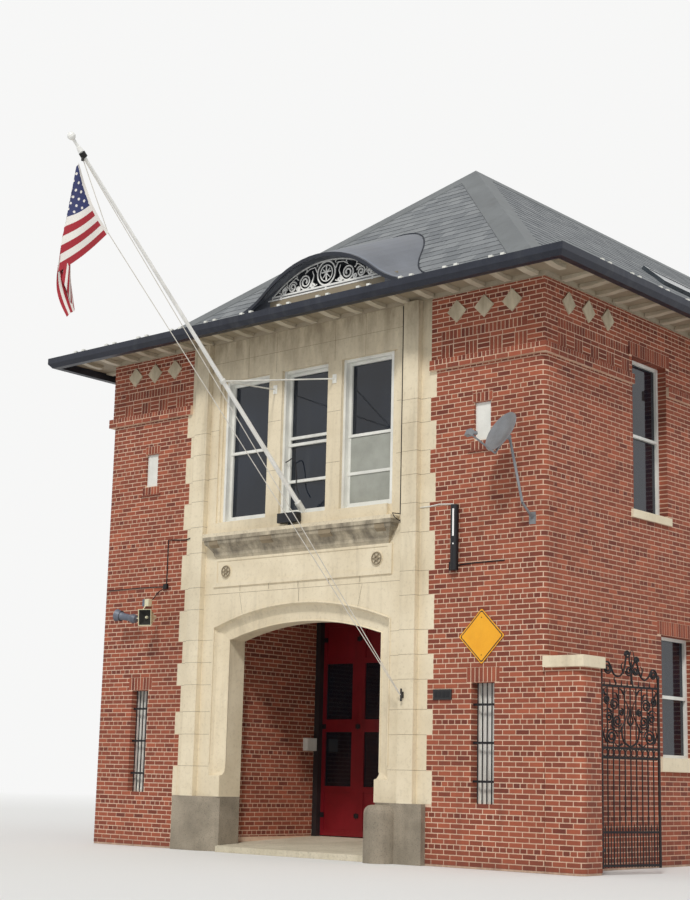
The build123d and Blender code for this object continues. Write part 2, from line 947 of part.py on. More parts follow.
def hipped_block(lift):
    """Solid of the whole roof form, its slopes raised by lift."""
    with BuildPart() as form:
        with BuildSketch(Plane.XY.offset(roof_foot)):
            with Locations((0, rear_face / 2)):
                Rectangle(2 * front_half, rear_face)
        extrude(amount=2 * ridge_rise)
        for middle, out, along, half in house_sides():
            foot = middle + Vector(0, 0, roof_foot + lift)
            split(bisect_by=Plane(origin=foot, z_dir=out * slope + Vector(0, 0, 1)), keep=Keep.BOTTOM)
    return form.part


hip_strip = cap_width * math.sqrt(2)
ridge_strip = cap_width * math.cos(ridge_tilt)
cap_layer = hipped_block(cap_thick / math.cos(ridge_tilt))
roof_form = hipped_block(0)
with BuildPart() as ridge_caps:
    add(cap_layer)
    add(roof_form, mode=Mode.SUBTRACT)
    with BuildSketch(Plane.XY.offset(roof_foot)):
        for near, far in ((-1, 1), (rear_face + 1, -1)):
            with BuildLine():
                Polyline(
                    (-front_half + hip_strip, near),
                    (front_half - hip_strip, near),
                    (0, near + far * (front_half - hip_strip)),
                    close=True,
                )
            make_face()
        for side in (-1, 1):
            with BuildLine():
                Polyline(
                    (side * (front_half + 1), hip_strip),
                    (side * ridge_strip, front_half + hip_strip - ridge_strip),
                    (side * ridge_strip, rear_face - front_half - hip_strip + ridge_strip),
                    (side * (front_half + 1), rear_face - hip_strip),
                    close=True,
                )
            make_face()
    extrude(amount=2 * ridge_rise, mode=Mode.SUBTRACT)

# Low framed roof light on the right-hand slope
light_middle = Vector(
    sum(roof_light_x) / 2,
    sum(roof_light_y) / 2,
    roof_foot + slope * (front_half - sum(roof_light_x) / 2),
)
light_width = (roof_light_x[1] - roof_light_x[0]) / math.cos(ridge_tilt)
light_length = roof_light_y[1] - roof_light_y[0]
with BuildPart() as roof_light:
    with BuildSketch(Plane(origin=light_middle, x_dir=(0, 1, 0), z_dir=(slope, 0, 1))):
        Rectangle(light_length, light_width)
    extrude(amount=roof_light_height)
    with BuildSketch(Plane(origin=light_middle, x_dir=(0, 1, 0), z_dir=(slope, 0, 1)).offset(roof_light_height)):
        Rectangle(light_length - 2 * roof_light_frame, light_width - 2 * roof_light_frame)
    extrude(amount=-roof_light_glass_set, mode=Mode.SUBTRACT)

# Eyebrow dormer: crown arc and reversed foot arcs that meet in a smooth line
eyebrow_turn = 2 * math.atan2(eyebrow_height, eyebrow_half)
eyebrow_foot_radius = eyebrow_half / math.sin(eyebrow_turn) - eyebrow_crown_radius
slope_face = Plane(origin=(0, 0, roof_foot), z_dir=(0, -slope, 1))


def eyebrow_points(lower):
    """Bell line of the eyebrow at its front, lowered by the given amount, from left to right."""
    top = eyebrow_crown - lower
    change = eyebrow_crown_radius / (eyebrow_crown_radius + eyebrow_foot_radius)
    points = []
    for i in range(eyebrow_facets + 1):
        place = 2 * i / eyebrow_facets - 1
        side, share = math.copysign(1, place), abs(place)
        if share < change:
            angle = eyebrow_turn * share / change
            x = eyebrow_crown_radius * math.sin(angle)
            z = top - eyebrow_crown_radius * (1 - math.cos(angle))
        else:
            angle = eyebrow_turn * (1 - share) / (1 - change)
            x = eyebrow_half - eyebrow_foot_radius * math.sin(angle)
            z = top - eyebrow_height + eyebrow_foot_radius * (1 - math.cos(angle))
        points.append((side * x, z))
    return points


grille_rise = grille_crown - grille_low
grille_radius = (grille_half**2 + grille_rise**2) / (2 * grille_rise)


def grille_points(inset, low=grille_low):
    """Arched line of the grille, drawn in by inset and cut off at the height low, from left to right."""
    radius = grille_radius - inset
    middle = grille_crown - grille_radius
    reach = math.acos((low - middle) / radius)
    angles = [reach * (2 * i / eyebrow_facets - 1) for i in range(eyebrow_facets + 1)]
    return [(radius * math.sin(a), middle + radius * math.cos(a)) for a in angles]


# Hollow that narrows from the rim to the grille, and the dark arched space behind the grille
board_low = roof_foot + slope * grille_front - rim_depth
with BuildPart() as eyebrow_hollow:
    mouth = eyebrow_points(rim_height)
    throat = grille_points(0)
    for points, y in ((mouth, eyebrow_front), (throat, grille_front)):
        with BuildSketch(front_plane(y)):
            with BuildLine():
                Polyline((points[0][0], board_low), *points, (points[-1][0], board_low), close=True)
            make_face()
    loft(ruled=True)
    with BuildSketch(front_plane(grille_front)):
        with BuildLine():
            Polyline(*throat, close=True)
        make_face()
    extrude(amount=-eyebrow_back * 0.6)

with BuildPart() as eyebrow_roof:
    with BuildSketch(front_plane(eyebrow_front)):
        with BuildLine():
            Polyline((-eyebrow_half, roof_foot), *eyebrow_points(0), (eyebrow_half, roof_foot), close=True)
        make_face()
    extrude(amount=eyebrow_back, dir=eyebrow_lift)
    add(eyebrow_hollow.part, mode=Mode.SUBTRACT)
    split(bisect_by=slope_face, keep=Keep.TOP)

with BuildPart() as eyebrow_rim:
    with BuildSketch(front_plane(eyebrow_front)):
        with BuildLine():
            Polyline(*eyebrow_points(0), *reversed(eyebrow_points(rim_height)), close=True)
        make_face()
    extrude(amount=rim_depth, dir=eyebrow_lift * -1)

# Iron grille in the eyebrow: arched frame, ringed medallion and mirrored scrolls on a bar with short feet
grille_inner = (grille_low + grille_bar, grille_crown - grille_bar)
medallion_radius = (grille_inner[1] - grille_inner[0]) / 2 + medallion_lap
medallion_height = sum(grille_inner) / 2


def ring(centre, radius, width):
    """Flat ring of straight facets in the sketch being drawn."""
    with Locations(centre):
        RegularPolygon(radius, 2 * scroll_facets)
        RegularPolygon(radius - width, 2 * scroll_facets, mode=Mode.SUBTRACT)


def grille_scroll(share, radius, turns, way):
    """Scroll that stands on the bottom bar at a share of the grille's half width."""
    return volute((share * grille_half, grille_inner[0] + radius - grille_rod / 4), radius, turns, 270, way)


with BuildPart() as eyebrow_grille:
    with BuildSketch(front_plane(grille_front)):
        with BuildLine():
            Polyline(*grille_points(seat_gap), close=True)
        make_face()
        with BuildLine():
            Polyline(*grille_points(grille_bar, grille_inner[0]), close=True)
        make_face(mode=Mode.SUBTRACT)
        ring((0, medallion_height), medallion_radius, grille_rod)
        ring((0, medallion_height), medallion_radius * medallion_bore, grille_rod)
        with Locations((0, medallion_height)):
            RegularPolygon(medallion_radius * boss_share, scroll_facets)
            Rectangle(2 * medallion_radius - grille_rod, grille_rod)
            Rectangle(grille_rod, 2 * medallion_radius - grille_rod)
    extrude(amount=-grille_thick)
    with BuildSketch(front_plane(grille_front)):
        for share in (-grille_feet_share, 0, grille_feet_share):
            with Locations((share * grille_half, grille_low + (grille_bar - grille_foot) / 2)):
                Rectangle(grille_foot_width, grille_foot + grille_bar)
    extrude(amount=grille_foot_out)
    scrolls = [
        grille_scroll(0.375, 0.115 * grille_half, 1.9, 1),
        grille_scroll(0.612, 0.083 * grille_half, 1.7, -1),
        grille_scroll(0.245, 0.042 * grille_half, 1.4, -1),
        grille_scroll(0.507, 0.04 * grille_half, 1.4, 1),
        grille_scroll(0.755, 0.052 * grille_half, 1.5, -1),
    ]
    for points in scrolls:
        for side in (-1, 1):
            with BuildSketch(front_plane(grille_front)):
                strip([(side * x, z) for x, z in points], grille_rod)
            extrude(amount=-grille_thick)

# Flagpole raked out over the street, with a ball at its tip
pole_line = Vector(0, pole_tip_y - pole_foot_y, pole_tip_z - pole_foot_z)
pole_dir = pole_line.normalized()
pole_start = Vector(0, pole_foot_y, pole_foot_z)


def on_pole(y):
    """Point on the pole's axis at a given distance from the wall."""
    return pole_start + pole_line * ((y - pole_foot_y) / pole_line.Y)


def pole_radius(y):
    """Radius of the tapering pole at a given distance from the wall."""
    return pole_foot_radius + (pole_tip_radius - pole_foot_radius) * (y - pole_foot_y) / pole_line.Y


with BuildPart() as flagpole:
    with Locations(Plane(origin=pole_start, z_dir=pole_dir).location):
        Cone(
            pole_foot_radius,
            pole_tip_radius,
            pole_line.length,
            align=(Align.CENTER, Align.CENTER, Align.MIN),
        )
    ball_outline = [(0, -pole_ball_radius)]
    for i in range(1, 2 * ball_facets):
        angle = math.radians(90 * (i / ball_facets - 1))
        ball_outline.append((pole_ball_radius * math.cos(angle), pole_ball_radius * math.sin(angle)))
    ball_outline.append((0, pole_ball_radius))
    turned(ball_outline, pole_start + pole_line + pole_dir * (pole_ball_radius * 0.8), pole_dir)

# Iron fittings: pole shoe on the sill, braces to the mullions, rope cleat and gate lugs
collar_middle = on_pole(brace_y)
collar_foot = collar_middle - pole_dir * (brace_collar_length / 2)
with BuildPart() as iron_fittings:
    block((-shoe_plate / 2, shoe_plate / 2), (-sill_out, frame_back - running_gap), (window_low, window_low + 35))
    rod(pole_start - pole_dir * 20, pole_start + pole_dir * shoe_length, shoe_radius)
    block((-shoe_plate, shoe_plate), (-shoe_plate * 2, frame_back), (cornice_top, window_low), Mode.SUBTRACT)
    rod(pole_start, pole_start + pole_dir * shoe_length, pole_foot_radius + pin_fit, Mode.SUBTRACT)
    rod(collar_foot, collar_foot + pole_dir * brace_collar_length, brace_collar_radius)
    for side in (-1, 1):
        end = Vector(side * brace_plate_x, -brace_plate_thick / 2, brace_plate_z)
        rod(collar_middle, end, brace_rod_radius)
        block(
            (side * brace_plate_x - brace_plate_size[0] / 2, side * brace_plate_x + brace_plate_size[0] / 2),
            (-brace_plate_thick, 0),
            (brace_plate_z - brace_plate_size[1] / 2, brace_plate_z + brace_plate_size[1] / 2),
        )
    rod(
        collar_foot - pole_dir * brace_collar_length,
        collar_foot + pole_dir * (2 * brace_collar_length),
        pole_radius(brace_y) + pin_fit,
        Mode.SUBTRACT,
    )
    cleat_face = -pilaster_out
    block(
        (cleat_x - cleat_radius, cleat_x + cleat_radius),
        (cleat_face - cleat_stand, cleat_face),
        (cleat_z - cleat_stand, cleat_z + cleat_stand),
    )
    rod(
        (cleat_x, cleat_face - cleat_stand, cleat_z - cleat_length / 2),
        (cleat_x, cleat_face - cleat_stand, cleat_z + cleat_length / 2),
        cleat_radius,
    )
    for lug in gate_lugs:
        with Locations((gate_hinge_x, gate_hinge_y, lug)):
            Cylinder(lug_eye, lug_height, align=(Align.CENTER, Align.CENTER, Align.MIN))
        block((gate_hinge_x - 16, gate_hinge_x + 16), (pier_depth, gate_hinge_y), (lug, lug + lug_height))
        rod(
            (gate_hinge_x, gate_hinge_y, lug - 1),
            (gate_hinge_x, gate_hinge_y, lug + lug_height + 1),
            gate_stile_radius + pin_fit,
            Mode.SUBTRACT,
        )

# Taut rope in two strands from the pole's head to the cleat
rope_drop = (pole_radius(rope_head_y) + 2 * rope_radius) / pole_dir.Y
rope_head = on_pole(rope_head_y) + Vector(0, 0, rope_drop)
foot_shift = Vector(rope_radius + seat_gap, 0, 0)
foot_reach = math.sqrt((cleat_radius + rope_radius) ** 2 - foot_shift.X**2)
rope_foot = Vector(cleat_x, cleat_face - cleat_stand - foot_reach, cleat_z)
rope_line = rope_foot - rope_head
rope_across = Vector(rope_line.Y, -rope_line.X, 0).normalized()
flag_along = Vector(rope_line.X, rope_line.Y, 0).normalized()
flag_side = flag_along.cross(Vector(0, 0, 1))
rope_bend = Vector(rope_head.X, rope_head.Y, flag_low_corner[1]) + flag_along * flag_low_corner[0]
with BuildPart() as halyard:
    shift = rope_across * (rope_spacing / 2)
    rod(rope_head + shift, rope_foot + foot_shift, rope_radius)
    rod(rope_head - shift, rope_bend - shift, rope_radius)
    with Locations(rope_bend - shift):
        Sphere(rope_radius)
    rod(rope_bend - shift, rope_foot - foot_shift, rope_radius)

# Flag hanging in the rope's own upright plane
hoist_line = rope_bend - rope_head
hoist_top = rope_head + hoist_line * flag_hoist_start
hoist_low = rope_head + hoist_line * flag_hoist_end


def in_flag(point):
    """A point of the rope as (distance from the pole's head, height), moved to just clear of the rope."""
    line = hoist_line.normalized()
    clear = rope_radius + seat_gap
    return (
        (point - rope_head).dot(flag_along) + clear * line.Z,
        point.Z - clear * line.dot(flag_along),
    )


with BuildPart() as flag:
    with BuildSketch(Plane(origin=(rope_head.X, rope_head.Y, 0), x_dir=flag_along, z_dir=flag_side)):
        with BuildLine():
            Polyline(in_flag(hoist_top), in_flag(hoist_low), *flag_fly, close=True)
        make_face()
    extrude(amount=flag_thick / 2, both=True)

# Satellite dish with its feed on an arm, held by a bent pipe from a wall plate
dish_centre = Vector(front_half - dish_from_corner, -dish_stand, dish_level)
dish_axis = Vector(*dish_facing).normalized()
dish_up = (Vector(0, 0, 1) - dish_axis * dish_axis.Z).normalized()
dish_foot = Vector(front_half - dish_foot_from_corner, 0, dish_foot_level)
dish_shell = [(dish_radius * i / 3, dish_hollow * (i / 3) ** 2) for i in range(4)]
with BuildPart() as satellite_dish:
    turned(dish_shell + [(r, h - dish_sheet) for r, h in reversed(dish_shell)], dish_centre, dish_axis)
    neck = dish_centre - dish_axis * dish_neck
    elbow = dish_foot + Vector(0, -dish_elbow_out, dish_elbow_rise)
    rod(dish_centre - dish_axis * (dish_sheet / 2), neck, 2 * dish_pipe_radius)
    rod(neck, elbow, dish_pipe_radius)
    rod(dish_foot, elbow, dish_pipe_radius)
    block(
        (dish_foot.X - dish_foot_plate[0] / 2, dish_foot.X + dish_foot_plate[0] / 2),
        (-dish_sheet, 0),
        (dish_foot.Z - dish_foot_plate[1] / 2, dish_foot.Z + dish_foot_plate[1] / 2),
    )
    block(
        (dish_foot.X - dish_foot_plate[0], dish_foot.X + dish_foot_plate[0]),
        (0, 2 * dish_pipe_radius),
        (dish_foot.Z - dish_foot_plate[1], dish_foot.Z + dish_foot_plate[1]),
        Mode.SUBTRACT,
    )
    feed = dish_centre + dish_axis * feed_reach - dish_up * feed_drop
    arm_root = dish_centre - dish_axis * (dish_neck / 2)
    arm_low = dish_centre - dish_up * (dish_radius * 1.05)
    rod(arm_root, arm_low, dish_pipe_radius * 0.7)
    rod(arm_low, feed, dish_pipe_radius * 0.7)
    with Locations(Plane(origin=feed, x_dir=dish_axis.cross(dish_up), z_dir=dish_up).location):
        Box(feed_bracket[1], feed_bracket[0], feed_bracket[2])
    rod(feed, feed + (dish_centre - feed).normalized() * feed_bracket[1], feed_radius)

# Box on the wall with a round horn that faces along the front and a square one that faces the street
horn_x = horn_box_from_corner - front_half
horn_hub = Vector(horn_x, -horn_stand, horn_box_level - horn_drop)
round_driver = horn_hub - Vector(round_horn_shift, 0, 0)
round_way = Vector(-1, -0.2, 0.2).normalized()
square_throat = horn_hub + Vector(square_horn_shift, 0, 0)
square_way = Vector(0.35, -1, -0.1).normalized()
square_flares = []
for inset, early in ((0, 0), (horn_sheet, 1)):
    with BuildPart() as square_flare:
        for size, place in ((square_horn_throat, inset), (square_horn_mouth, square_horn_length + early)):
            middle = square_throat + square_way * place
            with BuildSketch(Plane(origin=middle, x_dir=square_way.cross(Vector(0, 0, -1)), z_dir=square_way)):
                Rectangle(size[0] - 2 * inset, size[1] - 2 * inset)
        loft(ruled=True)
    square_flares.append(square_flare.part)
with BuildPart() as horn_speakers:
    block(
        (horn_x - horn_box_size[0] / 2, horn_x + horn_box_size[0] / 2),
        (-horn_box_size[1], 0),
        (horn_box_level - horn_box_size[2] / 2, horn_box_level + horn_box_size[2] / 2),
    )
    rod((horn_x, -horn_box_size[1] / 2, horn_box_level), horn_hub, horn_sheet * 0.8)
    rod(round_driver, square_throat, horn_sheet)
    small, large = round_horn_radius
    mouth = round_driver_radius + round_horn_length
    horn = [
        (0, -round_driver_radius),
        (0.8 * round_driver_radius, -0.7 * round_driver_radius),
        (round_driver_radius, 0),
        (small, round_driver_radius),
        (small * 1.1, round_driver_radius + round_horn_length * 0.5),
        (large, mouth),
        (large - horn_sheet, mouth),
        (small, mouth - round_horn_length * 0.5),
        (0, mouth - round_horn_length * 0.6),
    ]
    turned(horn, round_driver, round_way)
    driver_foot = square_throat - square_way * square_driver_length
    rod(driver_foot, square_throat + square_way * (horn_sheet / 2), square_horn_throat[0] / 2 - horn_sheet)
    add(square_flares[0])
    add(square_flares[1], mode=Mode.SUBTRACT)

# Upright tube light on the wall and floodlight on the cornice
with BuildPart() as wall_lights:
    tube_y = -tube_radius - 2
    rod((tube_x, tube_y, tube_low), (tube_x, tube_y, tube_high), tube_radius)
    for end in (tube_low + tube_clip, tube_high - 2 * tube_clip):
        block((tube_x - 20, tube_x + 20), (tube_y, 0), (end, end + tube_clip))
    low = cornice_top + floodlight_stand
    head_y = -cornice_out + floodlight_size[1]
    block((floodlight_x - 15, floodlight_x + 15), (head_y - 60, head_y - 20), (cornice_top, low))
    block(
        (floodlight_x - floodlight_size[0] / 2, floodlight_x + floodlight_size[0] / 2),
        (head_y - floodlight_size[1], head_y),
        (low, low + floodlight_size[2]),
    )

# Brick pier beside the right-hand wall and its stone cap
with BuildPart() as gate_pier:
    block((front_half, front_half + pier_width), (0, pier_depth), (0, pier_height))
    with BuildSketch(Plane.XY):
        with Locations((front_half + pier_width, 0)):
            Rectangle(2 * corner_round, 2 * corner_round)
        with Locations((front_half + pier_width - corner_round, corner_round)):
            Circle(corner_round, mode=Mode.SUBTRACT)
    extrude(amount=pier_height, mode=Mode.SUBTRACT)

with BuildPart() as pier_cap:
    with BuildSketch(Plane.XY.offset(pier_height)):
        with Locations((front_half + (pier_width + cap_over) / 2, (pier_depth - cap_over + cap_over_back) / 2)):
            Rectangle(pier_width + cap_over, pier_depth + cap_over + cap_over_back)
    extrude(amount=cap_height)

# Iron gate leaf, standing open
gate_turn = math.radians(gate_open)
gate_along = Vector(math.cos(gate_turn), math.sin(gate_turn), 0)
gate_plane = Plane(
    origin=(gate_hinge_x, gate_hinge_y, 0),
    x_dir=gate_along,
    z_dir=gate_along.cross(Vector(0, 0, 1)),
)
with BuildPart() as gate_leaf:
    hinge_top = (gate_hinge_x, gate_hinge_y, gate_top)
    rod((gate_hinge_x, gate_hinge_y, gate_low), hinge_top, gate_stile_radius)
    with Locations((gate_hinge_x, gate_hinge_y, gate_lugs[0] + lug_height + seat_gap)):
        Cylinder(collar_radius, collar_height, align=(Align.CENTER, Align.CENTER, Align.MIN))
    with BuildSketch(gate_plane):
        for level in (gate_low + gate_bar / 2, *gate_band, gate_rail):
            with Locations((gate_length / 2 + gate_bar / 2, level)):
                Rectangle(gate_length - gate_bar, gate_bar)
        with Locations((gate_length - gate_bar / 2, (gate_low + gate_rail) / 2)):
            Rectangle(gate_bar, gate_rail - gate_low)
    extrude(amount=gate_bar / 2, both=True)
    with BuildSketch(gate_plane):
        count = int((gate_length - gate_bar) / gate_rod_pitch)
        for i in range(1, count + 1):
            with Locations((i * gate_rod_pitch, (gate_low + gate_band[0]) / 2)):
                Rectangle(gate_rod, gate_band[0] - gate_low)
            with Locations((i * gate_rod_pitch, (gate_band[1] + gate_rail) / 2)):
                Rectangle(gate_rod, gate_rail - gate_band[1])
        scroll_pitch = (gate_length - gate_bar - gate_stile_radius) / gate_scrolls
        radius = (gate_band[1] - gate_band[0] - gate_bar) / 4 + gate_rod / 3
        for i in range(gate_scrolls):
            at = gate_stile_radius + scroll_pitch * (i + 0.5)
            for level, start in ((gate_band[0], 270), (gate_band[1], 90)):
                way = math.copysign(1, start - 180)
                centre = (at, level + way * (gate_bar / 2 - gate_rod / 3 + radius))
                strip(volute(centre, radius, 1.5, start, way), gate_rod)
        crest = [
            (0, gate_top - gate_stile_radius),
            (0.03 * gate_length, gate_crest - 90),
            (0.1 * gate_length, gate_crest - 15),
            (0.17 * gate_length, gate_crest - 12),
            (0.26 * gate_length, gate_crest - 90),
            (0.36 * gate_length, gate_top - 60),
            (0.5 * gate_length, gate_top - 170),
            (0.66 * gate_length, gate_top - 190),
            (0.82 * gate_length, gate_top - 170),
            (0.93 * gate_length, gate_top - 220),
            (gate_length - gate_bar / 2, gate_rail),
        ]
        strip(crest, gate_rod * 1.3)
        for share, radius, start, way in ((0.13, 0.1, 270, 1), (0.37, 0.075, 270, -1), (0.8, 0.06, 270, 1)):
            centre = (share * gate_length, gate_rail + gate_bar / 2 - gate_rod / 3 + radius * gate_length)
            strip(volute(centre, radius * gate_length, 1.6, start, way), gate_rod)
    extrude(amount=gate_rod / 2, both=True)

pieces = {
    "front_wall_right": front_wall_right.part,
    "front_wall_left": mirrored(front_wall_right.part),
    "right_wall": right_wall.part,
    "left_wall": mirrored(right_wall.part),
    "rear_wall": rear_wall.part,
    "brick_band": brick_band.part,
    "frieze_diamonds": frieze_diamonds.part,
    "quoin_pier_right": quoin_pier_right.part,
    "quoin_pier_left": mirrored(quoin_pier_right.part),
    "granite_base_right": granite_base_right.part,
    "granite_base_left": mirrored(granite_base_right.part),
    "guard_stone": guard_stone.part,
    "arch_jamb_right": arch_jamb_right.part,
    "arch_jamb_left": mirrored(arch_jamb_right.part),
    "arch_head": arch_head.part,
    "panel_over_arch": panel_over_arch.part,
    "sill_cornice": sill_cornice.part,
    "window_sill": window_sill.part,
    "mullion_right": mullion_right.part,
    "mullion_left": mirrored(mullion_right.part),
    "window_jamb_right": window_jamb_right.part,
    "window_jamb_left": mirrored(window_jamb_right.part),
    "window_lintel": window_lintel.part,
    "front_windows": front_windows.part,
    "small_windows": small_windows.part,
    "front_window_glass": front_window_glass.part,
    "side_windows": side_windows.part,
    "side_window_glass": side_window_glass.part,
    "side_sills": side_sills.part,
    "porch_wall_right": porch_wall_right.part,
    "porch_wall_left": mirrored(porch_wall_right.part),
    "porch_ceiling": porch_ceiling.part,
    "porch_floor": porch_floor.part,
    "ground_floor": ground_floor.part,
    "upper_floor": upper_floor.part,
    "door_frame": door_frame.part,
    "door_glass": door_glass.part,
    "eaves": eaves.part,
    "gutter": gutter.part,
    "modillions": modillions.part,
    "slate_roof": slate_roof.part,
    "ridge_caps": ridge_caps.part,
    "roof_light": roof_light.part,
    "eyebrow_roof": eyebrow_roof.part,
    "eyebrow_rim": eyebrow_rim.part,
    "eyebrow_grille": eyebrow_grille.part,
    "flagpole": flagpole.part,
    "iron_fittings": iron_fittings.part,
    "halyard": halyard.part,
    "flag": flag.part,
    "satellite_dish": satellite_dish.part,
    "horn_speakers": horn_speakers.part,
    "wall_lights": wall_lights.part,
    "gate_pier": gate_pier.part,
    "pier_cap": pier_cap.part,
    "gate_leaf": gate_leaf.part,
}
for number, leaf in enumerate(door_leaves, start=1):
    pieces[f"door_leaf_{number}"] = leaf

os.makedirs("parts", exist_ok=True)
for name, piece in pieces.items():
    piece.label = name
    export_step(piece, f"parts/{name}.step")
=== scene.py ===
"""Looks of the fire station building: brick bonds, stone joints, slates, ironwork, paint, glass and cloth.

Every length is in metres, in the same frame as the solids: x along the front, y into the building, z up.
"""

from __future__ import annotations

import json
import logging
import math
import random
from dataclasses import dataclass, field
from enum import Enum
from typing import Callable, Iterable, Sequence

import bpy
from mathutils import Matrix, Vector

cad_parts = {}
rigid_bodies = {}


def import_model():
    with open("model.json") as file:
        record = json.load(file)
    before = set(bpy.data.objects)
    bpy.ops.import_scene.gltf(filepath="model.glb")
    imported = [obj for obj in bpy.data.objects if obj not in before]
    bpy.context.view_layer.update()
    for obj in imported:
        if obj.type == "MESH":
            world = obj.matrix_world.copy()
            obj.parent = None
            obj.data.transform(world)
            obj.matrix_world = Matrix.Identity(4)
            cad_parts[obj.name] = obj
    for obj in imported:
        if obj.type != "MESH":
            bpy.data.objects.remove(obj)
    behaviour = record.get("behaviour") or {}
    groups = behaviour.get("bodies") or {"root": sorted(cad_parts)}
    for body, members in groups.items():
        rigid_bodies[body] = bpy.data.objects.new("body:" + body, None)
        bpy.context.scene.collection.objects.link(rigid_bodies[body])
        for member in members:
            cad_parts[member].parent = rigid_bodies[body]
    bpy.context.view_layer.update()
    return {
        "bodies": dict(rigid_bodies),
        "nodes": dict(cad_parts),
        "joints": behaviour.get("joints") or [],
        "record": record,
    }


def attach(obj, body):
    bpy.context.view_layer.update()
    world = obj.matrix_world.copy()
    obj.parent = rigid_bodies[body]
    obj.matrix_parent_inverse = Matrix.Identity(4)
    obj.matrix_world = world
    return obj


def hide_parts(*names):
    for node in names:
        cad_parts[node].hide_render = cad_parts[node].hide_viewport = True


LOG = logging.getLogger("fire_station")

Point = tuple[float, float, float]
Colour = tuple[int, int, int]
Socket = bpy.types.NodeSocket

BRICK_LENGTH = 0.203
HEADER_WIDTH = 0.0953
JOINT = 0.0145
COURSE = 0.0706
FIRST_COURSE = 0.0216
BRICK_PROUD = 0.004
HOUSE_HALF = 4.5
HOUSE_DEPTH = 17.4
CORNER_ROUND = 0.09
BAND_LOW = 7.05
BAND_HIGH = 7.2
BAND_OUT = 0.05
WALL_TOP = 8.16
WEAVE_GAP = 0.004
HOUSE_SEED, FRIEZE_SEED, PORCH_SEED, PIER_SEED = 11, 31, 41, 51


class Body(Enum):
    """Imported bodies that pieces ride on."""

    STATION = "station"
    GATE = "gate"


class Bond(Enum):
    """How the bricks of one row are laid: unit length along the wall, joint included."""

    STRETCHER = BRICK_LENGTH + JOINT
    HEADER = HEADER_WIDTH + JOINT
    SOLDIER = COURSE


def linear(colour: Colour) -> tuple[float, float, float, float]:
    """Linear colour with alpha 1 of a colour written in 0 to 255.

    Args:
        colour: Red, green and blue as they show on a screen.

    Returns:
        The colour for a shader socket.
    """
    values = [c / 255 for c in colour]
    steps = [v / 12.92 if v <= 0.04045 else ((v + 0.055) / 1.055) ** 2.4 for v in values]
    return steps[0], steps[1], steps[2], 1.0


# Lines and meshes


def smooth(knots: Sequence[Sequence[float]], steps: int) -> list[Vector]:
    """Smooth line through a few knots (Catmull-Rom).

    Args:
        knots: Points that the line passes through.
        steps: Pieces between two knots.

    Returns:
        Points of the line, both ends included.
    """
    line: list[Vector] = []
    last = len(knots) - 1
    for i in range(last):
        p0, p1, p2, p3 = (Vector(knots[min(max(i + k, 0), last)]) for k in (-1, 0, 1, 2))
        for k in range(steps):
            t = k / steps
            square = (2 * p0 - 5 * p1 + 4 * p2 - p3) * t * t
            cube = (3 * p1 - p0 - 3 * p2 + p3) * t**3
            line.append(0.5 * (2 * p1 + (p2 - p0) * t + square + cube))
    return [*line, Vector(knots[-1])]


def ring(u: float, z: float, wide: float, tall: float, half: int) -> list[tuple[float, float]]:
    """Closed round or oval ring in a plane.

    Args:
        u: Its centre across.
        z: Its centre up.
        wide: Its radius across.
        tall: Its radius up.
        half: Steps in half a turn; the first point is repeated at the end.

    Returns:
        Points of the ring.
    """
    angles = [math.pi * k / half for k in range(2 * half + 1)]
    return [(u + wide * math.cos(a), z + tall * math.sin(a)) for a in angles]


@dataclass(frozen=True)
class Spiral:
    """Scroll of ironwork in a plane, wound in from its outer end."""

    u: float
    z: float
    radius: float
    turns: float
    start: float
    way: int

    def line(self, steps: int, shrink: float) -> list[tuple[float, float]]:
        """Points of the scroll from outside to inside.

        Args:
            steps: Points for each turn.
            shrink: Share of the radius that is lost by the end.

        Returns:
            Places across and up.
        """
        count = int(steps * self.turns)
        points = []
        for i in range(count + 1):
            share = i / count
            a = math.radians(self.start) + self.way * 2 * math.pi * self.turns * share
            r = self.radius * (1 - shrink * share)
            points.append((self.u + r * math.cos(a), self.z + r * math.sin(a)))
        return points


